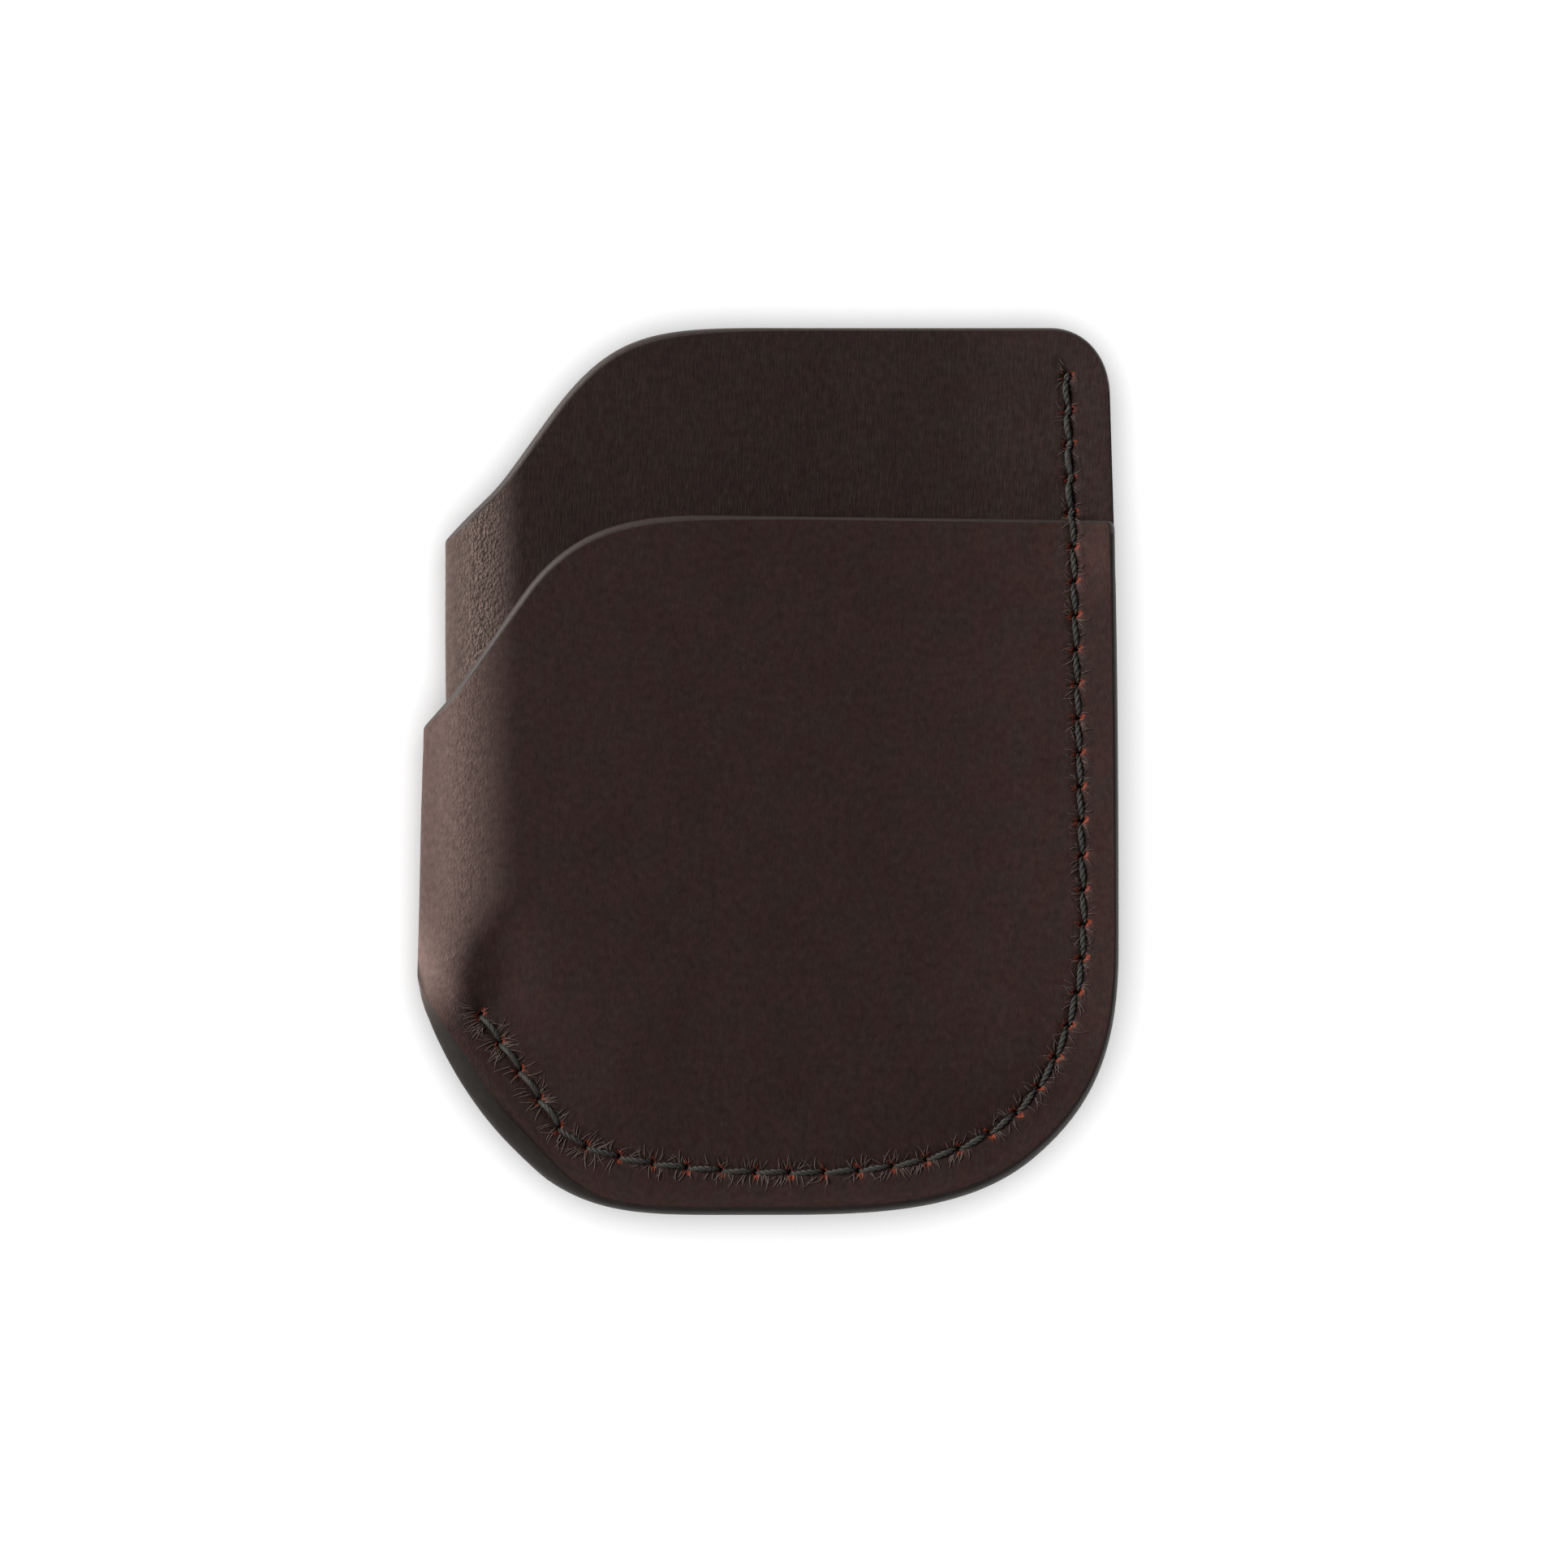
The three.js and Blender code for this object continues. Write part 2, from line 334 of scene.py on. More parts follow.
# %% [markdown]
# ## Two flat patterns
# On the bench each leather starts as a flat piece, symmetrical about its fold line, so that is how it
# is made here. A point of the flat piece has p, its distance from the fold line (positive on the front
# half), and y, its height. Folding turns p into a place in the sleeve. A pattern made flat can be cut,
# punched and given its edges before it is bent, and its grain then runs over the fold as real grain
# does.

# %% Folding
FOLD_END = -26.0
BEND_STEPS = 400


# tip is where the fold's tip stands, and lean how far it moves right for each millimetre up. ease is how
# quickly the bend straightens, and foot how much longer the leather is cut at the foot of its fold.
def make_wrap(name, tip, lean, ease, inner, foot):
    share = np.linspace(0, 1, BEND_STEPS + 1)
    angle = math.pi / 2 * (1 - share) ** ease
    middles = (share[1:] + share[:-1]) / 2
    middle_angle = math.pi / 2 * (1 - middles) ** ease
    run = np.concatenate([[0], np.cumsum(np.cos(middle_angle))])
    rise = np.concatenate([[0], np.cumsum(np.sin(middle_angle))])
    reach = FOLD_END - tip
    half = FOLD_TOP / 2 - inner * (LEATHER + POCKET_GAP)
    steps = np.hypot(np.diff(run / run[-1]) * reach, np.diff(rise / rise[-1]) * half)
    return {
        "name": name,
        "tip": tip,
        "lean": lean,
        "inner": inner,
        "foot": foot,
        "share": share,
        "run": run / run[-1],
        "rise": rise / rise[-1],
        "run_slope": np.cos(angle) / run[-1],
        "rise_slope": np.sin(angle) / rise[-1],
        "length": steps.sum(),
    }


LEAN_START = -20.0  # below this height the tip is upright


def tip_at(wrap, y):
    return wrap["tip"] + wrap["lean"] * np.maximum(y - LEAN_START, 0)


def layer_faces(wrap, puff):
    grain = wrap["inner"] * mix(SEWN_TO_INNER, LEATHER + POCKET_GAP, puff)
    sewn = SEWN_INNER if wrap["inner"] else SEWN_OUTER
    return grain, mix(sewn, LEATHER, puff)


def pattern_from_front(wrap, x, y):
    tip = tip_at(wrap, y)
    share = np.interp((x - tip) / (FOLD_END - tip), wrap["run"], wrap["share"])
    return np.where(x < FOLD_END, share * wrap["length"], wrap["length"] + x - FOLD_END)


def front_from_pattern(wrap, p, y):
    tip = tip_at(wrap, y)
    share = np.minimum(np.abs(p) / wrap["length"], 1)
    past = np.maximum(np.abs(p) - wrap["length"], 0)
    return tip + (FOLD_END - tip) * np.interp(share, wrap["share"], wrap["run"]) + past


def fold(wrap, p, y, depth, puff):
    # depth is measured from the grain side, square to the leather
    side = np.where(p < 0, -1.0, 1.0)
    share = np.minimum(np.abs(p) / wrap["length"], 1)
    x = front_from_pattern(wrap, p, y)
    grain, _ = layer_faces(wrap, puff)
    front = front_face(x, puff) - grain
    back = back_face(puff) + grain
    half = (front - back) / 2
    across = (FOLD_END - tip_at(wrap, y)) * np.interp(share, wrap["share"], wrap["run_slope"])
    up = half * np.interp(share, wrap["share"], wrap["rise_slope"])
    size = np.hypot(across, up)
    z = (front + back) / 2 + side * half * np.interp(share, wrap["share"], wrap["rise"])
    return np.stack([x + depth * up / size, y, z - side * depth * across / size], 1)


outer = make_wrap("outer_wrap", -35.6, 0.024, 2.3, 0, foot=-0.5)
inner = make_wrap("inner_wrap", -32.8, 0.0, 2.9, 1, foot=0.9)
print("half of each fold, mm:", round(outer["length"], 1), round(inner["length"], 1))

# %% [markdown]
# ## Outlines
# Both leathers share the sewn outline: down the right side, round the bottom and up to the fold. They
# differ in the mouth, the free cut edge at the top. Corners that a knife leaves sharp are eased a
# little by the sanding that comes before burnishing.

# %% Outlines
EDGE_STEP = 0.3
FOOT_REACH = (3, 12)  # the change at the foot is full, and fades out, this far from the fold line
BODY_STRETCHES = [
    [(35.6, 4), (35.6, -18)],
    [(35.6, -28.2), (33.1, -34.1), (26.9, -39.3)],
    [(19.8, -45.2), (9.1, -45), (-2, -45)],
    [(-13, -45), (-19, -45.4), (-25.7, -38.6)],
    [(-29.4, -35.0), (-32.9, -29.4), (-35.05, -24.3)],
    [(-35.55, -23.2), (-35.6, -21.8)],
    [(-35.8, -19.8)],
]
outer_mouth = trace(
    (-37, 2.9),
    [
        [(-32.6, 7.3)],
        [(-30.6, 9.3), (-27.2, 14.6), (-24.4, 18.4)],
        [(-19.5, 24.9), (-13.4, 25.9), (-6, 25.9)],
        [(34.2, 25.41)],
        [(34.95, 25.4), (35.2, 25.1), (35.22, 24.4)],
    ],
)
inner_mouth = trace(
    (-37, 19.9),
    [
        [(-32.6, 24)],
        [(-26.4, 29.6), (-28.1, 27.7), (-22.4, 35.6)],
        [(-16.1, 44.4), (-12, 45), (0, 45)],
        [(28.6, 45)],
        [(32, 45), (34.4, 42.4), (34.7, 38.8)],
    ],
)
outer_body = trace((35.22, 24.4), [[(35.3, 19)], *BODY_STRETCHES])
inner_body = trace((34.7, 38.8), [[(35.3, 19)], *BODY_STRETCHES])


def to_fold_line(wrap, line):
    # the stretch of an outline on the front, laid flat and ending on the fold line
    line = line[line[:, 0] > tip_at(wrap, line[:, 1]) + 1e-6]
    return np.stack([pattern_from_front(wrap, *line.T), line[:, 1]], 1)


def crossing(wrap, line):
    # height at which an outline crosses the fold's tip
    over = line[:, 0] - tip_at(wrap, line[:, 1])
    k = np.nonzero(np.diff(np.sign(over)))[0][0]
    return np.interp(0, *np.array(sorted(zip(over[k : k + 2], line[k : k + 2, 1]))).T)


def cut_pattern(wrap, mouth, body):
    top = crossing(wrap, mouth)
    foot = crossing(wrap, body)
    mouth_flat = np.concatenate([[[0, top]], to_fold_line(wrap, mouth)])
    body_flat = np.concatenate([to_fold_line(wrap, body), [[0, foot]]])
    free = resample(mouth_flat, int(lengths_along(mouth_flat)[-1] / EDGE_STEP))
    sewn = resample(body_flat, int(lengths_along(body_flat)[-1] / EDGE_STEP))
    # the outer leather reaches a little lower at the foot of its fold, and the inner one is cut short there
    beside_fold = 1 - smoothstep(sewn[:, 0], *FOOT_REACH)
    sewn[:, 1] += wrap["foot"] * beside_fold * (sewn[:, 1] < 0)
    front_half = np.concatenate([free, sewn[1:]])
    back_half = front_half[-2:0:-1] * (-1, 1)
    is_free = np.concatenate([np.ones(len(free)), np.zeros(len(sewn) - 1)])
    wrap["rim"] = np.concatenate([front_half, back_half])
    wrap["free"] = np.concatenate([is_free, is_free[-2:0:-1]])
    x, y = wrap["rim"].T
    wrap["area"] = abs(np.dot(x, np.roll(y, 1)) - np.dot(y, np.roll(x, 1))) / 2
    wrap["flat"] = np.ptp(wrap["rim"], axis=0)


cut_pattern(outer, outer_mouth, outer_body)
cut_pattern(inner, inner_mouth, inner_body)
for wrap in (outer, inner):
    print(wrap["name"], "flat, mm:", np.round(wrap["flat"], 1), "area:", round(wrap["area"]))

# %% [markdown]
# ## Relief
# Real leather isn't flat where it is sewn. The thread pulls a shallow valley along the seam, each hole
# sinks a little more, and small puckers stand across the stitches. Both faces are pinched in beside the
# fold, where the seam holds its foot down, creases fan out from the last stitch, and the loose leather
# sags a little. These are moves of the surface, in millimetres into the leather, so that they are real
# shape and catch the raking light.

# %% Relief
VALLEY = 0.26
VALLEY_INSIDE = 3.5  # how far the valley reaches into the pocket, and out over the sewn margin
MARGIN = 3.7
GROOVE = 0.15  # the thread lies in it
GROOVE_WIDTH = 0.48
DIMPLE = 0.13
DIMPLE_WIDTH = 0.7
PUCKER = 0.13
PUCKER_PITCH = 0.55
PUCKER_LEAN = 0.6  # puckers lean the way the slits do
PUCKER_REACH = 1.3
CREASE = 0.05
CREASES_PER_TURN = 24
CREASE_REACH = 4.2  # from the last stitch to the middle of the fan
CREASE_SPREAD = 2.2
SAG = 0.10
SAG_FADE = 4.0  # the seam holds the leather still for about this far
SAG_LEAST = 0.7  # keeps the sag inwards, so that the back never dips through the table
PINCH = 0.45  # both faces sink beside the fold, where the seam holds its foot down
PINCH_PLACE = (-27.0, -20.5)
PINCH_SIZE = (3.0, 6.5)


def wobble(points, scale, seed):
    return np.array([noise.noise((x / scale, y / scale, seed)) for x, y in points])


def puckers(x, y, spot, seed):
    off = np.abs(spot["across"])
    near = np.nonzero(off < 3)[0]
    points = np.stack([x, y], 1)[near]
    place = spot["along"][near] - PUCKER_LEAN * spot["across"][near]
    turns = place / PUCKER_PITCH + 0.9 * wobble(points, 1.1, seed)
    ridge = np.exp(-((np.sin(math.pi * turns) / 0.45) ** 2))
    # some puckers are long and some are missing
    own = np.clip(0.55 + 1.3 * wobble(points, 0.9, seed + 3), 0, 1.2)
    reach = np.exp(-((off[near] / PUCKER_REACH) ** 2)) * (1 - np.exp(-((off[near] / 0.35) ** 2)))
    raised = np.zeros(len(x))
    raised[near] = PUCKER * ridge * own * reach
    return raised


def relief(x, y, spot, seed):
    off = np.abs(spot["across"])
    along = spot["along"]
    end = np.exp(-((spot["past"] / 2.0) ** 2))
    in_pocket = np.exp(-((off / VALLEY_INSIDE) ** 2))
    on_margin = np.clip(1 - off / MARGIN, 0, 1)
    valley = VALLEY * mix(in_pocket, on_margin, spot["outwards"])
    groove = GROOVE * np.exp(-((off / GROOVE_WIDTH) ** 2))
    nearest = np.clip(np.round(along / PITCH), 0, HOLES - 1)
    from_hole = np.hypot(along - nearest * PITCH, off)
    dimple = DIMPLE * np.exp(-((from_hole / DIMPLE_WIDTH) ** 2))
    points = np.stack([x, y], 1)
    sag = SAG * (SAG_LEAST + wobble(points, 11, seed)) + 0.02 * wobble(points, 3, seed + 5)
    last = points - holes[-1]
    reach = np.hypot(*last.T)
    turn = np.arctan2(last[:, 1], last[:, 0])
    fan = np.exp(-(((reach - CREASE_REACH) / CREASE_SPREAD) ** 2))
    fan *= smoothstep(turn, 0.6, 1.2) * (1 - smoothstep(turn, 2.4, 2.9))
    crease = CREASE * fan * np.sin(CREASES_PER_TURN * turn + 2 * np.sin(reach))
    pulled = valley + groove + dimple - puckers(x, y, spot, seed)
    loose = (1 - np.exp(-((off / SAG_FADE) ** 2))) * (1 - spot["outwards"])
    away = (points - PINCH_PLACE) / PINCH_SIZE
    pinch = PINCH * np.exp(-(away**2).sum(1))
    return end * pulled + sag * loose + crease + pinch


print("deepest relief, mm:", round(VALLEY + GROOVE + DIMPLE, 2))

# %% [markdown]
# ## Burnished sides
# The sewn edge is all four layers sanded together to one rounded side. It is a tight round on the right
# and at the bottom, and a broad slope at the lower left, where the fold's swell meets the flat seam.
# Each point near that edge moves inwards by how high or low it stands in the stack, along half an
# ellipse.

# %% Rounding the sewn sides
ROUND_RIGHT = 0.5
ROUND_BOTTOM = 0.85
ROUND_LEFT = 2.2
SLOPE_REACH = 2.1  # the move fades to nothing over this many times its size

side_line = resample(inner_body, 8000)
side_tree = KDTree(len(side_line))
for i, point in enumerate(side_line):
    side_tree.insert((*point, 0), i)
side_tree.balance()
side_heading = np.gradient(side_line, axis=0)
side_inwards = np.stack([side_heading[:, 1], -side_heading[:, 0]], 1)
side_inwards /= np.hypot(*side_inwards.T)[:, None]


def side_round(x, y):
    bottom = smoothstep(-y, 24, 42)
    left = smoothstep(-x, 16, 27) * smoothstep(-y, 16, 24)
    return mix(mix(ROUND_RIGHT, ROUND_BOTTOM, bottom), ROUND_LEFT, left)


def round_sides(points):
    found = [side_tree.find((px, py, 0)) for px, py, _ in points]
    index = np.array([i for _, i, _ in found])
    away = np.array([d for _, _, d in found])
    size = side_round(*side_line[index].T)
    high = np.clip(np.abs(points[:, 2] - SEAM_MIDDLE) / (SEAM_TOP - SEAM_MIDDLE), 0, 1)
    share = np.clip(1 - away / (SLOPE_REACH * size), 0, 1)
    inset = size * (1 - np.sqrt(1 - high**3)) * share
    moved = points.copy()
    moved[:, :2] += side_inwards[index] * inset[:, None]
    return moved, away


print("rounding, mm:", ROUND_RIGHT, ROUND_BOTTOM, ROUND_LEFT)

# %% [markdown]
# ## Stitch holes
# A pricking iron cuts slanted slits, not round holes. Each slit is a pointed oval. Its dyed skin is
# torn back at the rim, where a funnel shows the reddish core of the leather, and below that it goes
# straight through.

# %% Slits
SLIT_SLANT = -math.radians(67)
RIM = (0.82, 0.36)  # half the length and half the width of the torn rim
THROAT = (0.34, 0.22)  # and of the straight hole below it
FUNNEL = 0.3
SLIT_POINTS = 16

slit_heading = np.arctan2(directions[:, 1], directions[:, 0]) + SLIT_SLANT
slit_random = random.Random(7)
slit_size = [slit_random.uniform(0.9, 1.12) for _ in range(HOLES)]


def slit_loop(i, size):
    turn = np.arange(SLIT_POINTS) / SLIT_POINTS * 2 * math.pi
    u = size[0] * slit_size[i] * np.cos(turn)
    v = size[1] * slit_size[i] * np.sin(turn) * np.abs(np.sin(turn)) ** 0.35
    c, s = math.cos(slit_heading[i]), math.sin(slit_heading[i])
    return holes[i] + np.stack([u * c - v * s, u * s + v * c], 1)


def in_slit(points, grow=0.0):
    found = np.zeros(len(points), bool)
    for i, hole in enumerate(holes):
        rel = points - hole
        near = np.abs(rel).max(1) < 2
        c, s = math.cos(slit_heading[i]), math.sin(slit_heading[i])
        u = (rel[near] @ (c, s)) / (RIM[0] * slit_size[i] + grow)
        v = (rel[near] @ (-s, c)) / (RIM[1] * slit_size[i] + grow)
        found[np.nonzero(near)[0][u**2 + v**2 < 1]] = True
    return found


print("slits:", HOLES, "about", 2 * RIM[0], "mm long")

# %% [markdown]
# ## From pattern to mesh
# The flat piece is filled with points, close together along the seam and the cut edge and wide apart
# elsewhere, and joined into triangles that keep the outline and the slits as edges. The grain side and
# the flesh side get their own triangles, and strips join the two round the rim and through each slit.
# The grain's rim is drawn back from the outline, so that the strip between them is the rounded,
# burnished cut edge.

# %% Points of a pattern
EDGE_ROUND = 0.66  # the mouth is bevelled by hand, broadly on the S and narrowly along the top
EDGE_ROUND_TOP = 0.34
EDGE_FALL = 0.8
CORNER_BEVEL = 1.5  # the fold's foot is sanded to a broad slope
CORNER_FALL = 1.0
FLESH_ROUND = 0.12
SEWN_ROUND = 0.09
RING_OFFSETS = (0.12, 0.3, 0.6)  # rings of points inside the rim
BAND_STEP = 0.135
BAND_OFFSETS = (0.0, 0.22, 0.45, 0.7, 1.0, 1.35, 1.75, 2.2)  # lines of points beside the seam
GRID = 0.75
FLESH_GRID = 1.6  # the flesh side is smooth, so its points can be wide apart
CLEAR_OF_SLIT = 0.1


def inward_normals(rim):
    heading = np.roll(rim, -1, 0) - np.roll(rim, 1, 0)
    normals = np.stack([heading[:, 1], -heading[:, 0]], 1)
    return normals / np.hypot(*normals.T)[:, None]


def ease_along(values, reach=3):
    kernel = np.ones(2 * reach + 1) / (2 * reach + 1)
    padded = np.concatenate([values[-reach:], values, values[:reach]])
    return np.convolve(padded, kernel, "valid")


def rim_tree(rim):
    tree = KDTree(len(rim))
    for i, (px, py) in enumerate(rim):
        tree.insert((px, py, 0), i)
    tree.balance()
    return tree


def from_rim(tree, points):
    return np.array([tree.find((px, py, 0))[2] for px, py in points])


def both_halves(wrap, front_points):
    flat = np.stack([pattern_from_front(wrap, *front_points.T), front_points[:, 1]], 1)
    return flat, flat * (-1, 1)


def inside_loop(loop, points):
    x, y = points.T
    inside = np.zeros(len(points), bool)
    for (ax, ay), (bx, by) in zip(loop, np.roll(loop, -1, 0)):
        crosses = (ay > y) != (by > y)
        with np.errstate(divide="ignore", invalid="ignore"):
            inside ^= crosses & (x < (bx - ax) * (y - ay) / (by - ay) + ax)
    return inside


def grid_points(rim, step):
    low, high = rim.min(0), rim.max(0)
    columns = np.arange(low[0], high[0], step)
    rows = np.arange(low[1], high[1], step * 0.87)
    px, py = np.meshgrid(columns, rows)
    px = px + (np.arange(len(rows)) % 2)[:, None] * step / 2
    return np.stack([px.ravel(), py.ravel()], 1)


def seam_band():
    count = int(lengths_along(seam)[-1] / BAND_STEP)
    line = resample(seam, count)
    heading = np.gradient(line, axis=0)
    right = np.stack([heading[:, 1], -heading[:, 0]], 1)
    right /= np.hypot(*right.T)[:, None]
    rows = []
    for offset in BAND_OFFSETS:
        for side in (-1, 1) if offset else (1,):
            rows.append(line + right * offset * side)
    points = np.concatenate(rows)
    spot = beside_seam(*points.T)
    row_offset = np.repeat([o for o in BAND_OFFSETS for _ in range(2 if o else 1)], count)
    points = points[np.abs(np.abs(spot["across"]) - row_offset) < 0.04]
    return points[~in_slit(points, CLEAR_OF_SLIT)]


def triangulate(loops, points):
    vertices = [Vector(p) for loop in loops for p in loop] + [Vector(p) for p in points]
    edges = []
    first = 0
    for loop in loops:
        ring = list(range(first, first + len(loop)))
        edges += zip(ring, ring[1:] + ring[:1])
        first += len(loop)
    rim = list(range(len(loops[0])))[::-1]
    out, _, faces, came_from, _, _ = delaunay_2d_cdt(vertices, edges, [rim], 1, 1e-5)
    place = {}
    for k, sources in enumerate(came_from):
        for source in sources:
            place[source] = k
    ends = np.cumsum([len(loop) for loop in loops])
    found = [np.array([place[k] for k in range(end - len(loop), end)]) for end, loop in zip(ends, loops)]
    return np.array([tuple(v) for v in out]), np.array([tuple(f) for f in faces]), found


# %% A sheet of leather
WALL_TURNS = np.linspace(0, math.pi / 2, 6)[1:]  # steps round the rounded edge
WALL_SHARES = (0.15, 0.4, 0.7)  # and then down the wall below it
GRAIN_FACE, FLESH_FACE, SIDE_FACE, CORE_FACE, MOUTH_FACE = range(5)
OUTER_TOP_HOLE = 24.5  # the holes above this height pass only through the inner wrap


class Sheet:
    # gathers the points of a leather, in its flat pattern, and the faces that join them
    def __init__(self):
        self.flat = []
        self.depth = []
        self.faces = []
        self.finish = []
        self.count = 0

    def points(self, flat, depth):
        self.flat.append(np.asarray(flat, float))
        self.depth.append(np.broadcast_to(depth, len(flat)).astype(float))
        self.count += len(flat)
        return np.arange(self.count - len(flat), self.count)

    def join(self, faces, finish):
        self.faces += [tuple(int(k) for k in face) for face in faces]
        self.finish += np.broadcast_to(finish, len(faces)).tolist()

    def strip(self, a, b, finish):
        self.join(np.stack([a, np.roll(a, -1), np.roll(b, -1), b], 1), finish)


def thickness(wrap, flat):
    spot = beside_seam(front_from_pattern(wrap, *flat.T), flat[:, 1])
    return layer_faces(wrap, smoothstep(spot["pocket"], 0, PUFF_WIDTH))[1]


def edge_sizes(wrap):
    # how far the edge is rounded in from the rim and down from the grain, and in on the flesh side
    rim = wrap["rim"]
    rim_x = front_from_pattern(wrap, *rim.T)
    is_free = wrap["free"] > 0
    corner = smoothstep(-rim_x, 27, 33) * smoothstep(-rim[:, 1], 16, 21)
    mouth_round = mix(EDGE_ROUND, EDGE_ROUND_TOP, smoothstep(rim_x, -14, 4))
    edge = ease_along(np.where(is_free, mouth_round, mix(SEWN_ROUND, CORNER_BEVEL, corner)))
    fall = ease_along(np.where(is_free, EDGE_FALL, mix(SEWN_ROUND, CORNER_FALL, corner)))
    return edge, fall, ease_along(np.where(is_free, FLESH_ROUND, SEWN_ROUND))


print("steps down the edge:", len(WALL_TURNS) + len(WALL_SHARES))


# %% Slits and points of one leather
def punched_in(wrap):
    return [i for i in range(HOLES) if wrap is not outer or holes[i][1] <= OUTER_TOP_HOLE]


def cut_slits(wrap, size):
    loops = []
    for i in punched_in(wrap):
        front, back = both_halves(wrap, slit_loop(i, size))
        loops += [front, back[::-1]]
    return loops


def grain_points(wrap, grain_rim, normals):
    tree = rim_tree(grain_rim)
    rings = [grain_rim + normals * offset for offset in RING_OFFSETS]
    rings = [ring[from_rim(tree, ring) > 0.75 * offset] for ring, offset in zip(rings, RING_OFFSETS)]
    band = np.concatenate(both_halves(wrap, seam_band()))
    grid = grid_points(wrap["rim"], GRID)
    spot = beside_seam(front_from_pattern(wrap, *grid.T), grid[:, 1])
    grid = grid[np.abs(spot["across"]) > BAND_OFFSETS[-1] + GRID / 3]
    loose = np.concatenate([band, grid])
    loose = loose[inside_loop(grain_rim, loose)]
    loose = loose[from_rim(tree, loose) > RING_OFFSETS[-1] + 0.2]
    return np.concatenate([*rings, loose])


def flesh_points(wrap, grain_rim):
    grid = grid_points(wrap["rim"], FLESH_GRID)
    grid = grid[inside_loop(wrap["rim"], grid)]
    grid = grid[from_rim(rim_tree(grain_rim), grid) > FLESH_GRID / 2]
    front = np.stack([front_from_pattern(wrap, *grid.T), grid[:, 1]], 1)
    return grid[~in_slit(front, CLEAR_OF_SLIT)]


def keep_leather(wrap, flat, faces, size):
    # turns every face the same way up, and leaves out those that fill a slit
    corners = flat[faces]
    turned = np.cross(corners[:, 1] - corners[:, 0], corners[:, 2] - corners[:, 0]) < 0
    faces[turned] = faces[turned][:, ::-1]
    middle = corners.mean(1)
    front = np.stack([front_from_pattern(wrap, *middle.T), middle[:, 1]], 1)
    gone = np.zeros(len(faces), bool)
    for i in punched_in(wrap):
        near = np.nonzero(np.abs(front - holes[i]).max(1) < 2 * RIM[0])[0]
        gone[near[inside_loop(slit_loop(i, size), front[near])]] = True
    return faces[~gone]


for wrap in (outer, inner):
    print(wrap["name"], "slits on each half:", len(punched_in(wrap)))


# %% Putting one leather together
def round_the_edge(sheet, wrap, above, rim_lift, below):
    # rings of points from the grain side, round the edge and down to the flesh side
    rim = wrap["rim"]
    normals = inward_normals(rim)
    edge, fall, flesh_back = edge_sizes(wrap)
    thick = thickness(wrap, rim)
    finish = np.where(wrap["free"] > 0, MOUTH_FACE, SIDE_FACE)
    rings = []
    for turn in WALL_TURNS:
        inset = edge * (1 - math.sin(turn))
        rings.append((rim + normals * inset[:, None], rim_lift + fall * (1 - math.cos(turn))))
    for share in WALL_SHARES:
        rings.append((rim, mix(rim_lift + fall, thick - flesh_back, share)))
    rings.append((rim + normals * (flesh_back * 0.3)[:, None], thick - flesh_back * 0.7))
    for flat, depth in rings:
        ring = sheet.points(flat, depth)
        sheet.strip(above, ring, finish)
        above = ring
    sheet.strip(above, below, finish)


def wrap_sheet(wrap, seed):
    rim = wrap["rim"]
    normals = inward_normals(rim)
    edge, _, flesh_back = edge_sizes(wrap)
    grain_rim = rim + normals * edge[:, None]
    flesh_rim = rim + normals * flesh_back[:, None]
    throats = cut_slits(wrap, THROAT)

    grain_loops = [grain_rim, *cut_slits(wrap, RIM)]
    flat, faces, found = triangulate(grain_loops, grain_points(wrap, grain_rim, normals))
    x = front_from_pattern(wrap, *flat.T)
    lift = relief(x, flat[:, 1], beside_seam(x, flat[:, 1]), seed)
    sheet = Sheet()
    sheet.points(flat, lift)
    sheet.join(keep_leather(wrap, flat, faces, RIM), GRAIN_FACE)

    flesh, faces, flesh_found = triangulate([flesh_rim, *throats], flesh_points(wrap, grain_rim))
    index = sheet.points(flesh, thickness(wrap, flesh))
    sheet.join(index[keep_leather(wrap, flesh, faces, THROAT)][:, ::-1], FLESH_FACE)

    round_the_edge(sheet, wrap, found[0], lift[found[0]], index[flesh_found[0]])
    for loop, throat, throat_flat in zip(found[1:], flesh_found[1:], throats):
        mid = sheet.points(throat_flat, lift[loop].mean() + FUNNEL)
        sheet.strip(loop, mid, CORE_FACE)
        sheet.strip(mid, index[throat], CORE_FACE)
    return sheet


print("finishes of a leather:", MOUTH_FACE + 1)

# %% [markdown]
# ### Bent, burnished and handled places, with painted highlight, shade and light
# Waxed leather pales where it bends, and that pale colour is also a painted highlight on the folds. It goes
# nearly black where its edge is burnished, and that dark band is also painted shade where the grain turns
# onto the edge. It is rubbed paler where a hand and a pocket touch it, and on the sewn margin that paling
# is also painted light. Painting these by hand would need an image. Here each one is a number at every
# point of the mesh, worked out from the place, kept as an attribute, and read by the materials below.

# %% Bent, burnished and handled, with painted highlight, shade and light
# how far left of the middle the paling and painted highlight start and are full, and where the tip of the
# fold dulls them again
OUTER_PALING_AND_HIGHLIGHT = {"start": 24.8, "full": 31.5, "tip": (31.3, 35.0), "dull": 0.6}
INNER_PALING_AND_HIGHLIGHT = {"start": 24.7, "full": 29.3, "tip": (29.2, 32.0), "dull": 0.62}
# where the seam holds the outer fold flat, its paling and painted highlight narrow
FOOT_PALING_AND_HIGHLIGHT = {"start": 30.0, "full": 32.8, "dull": 0.2}  # of the outer fold, where the seam holds it flat
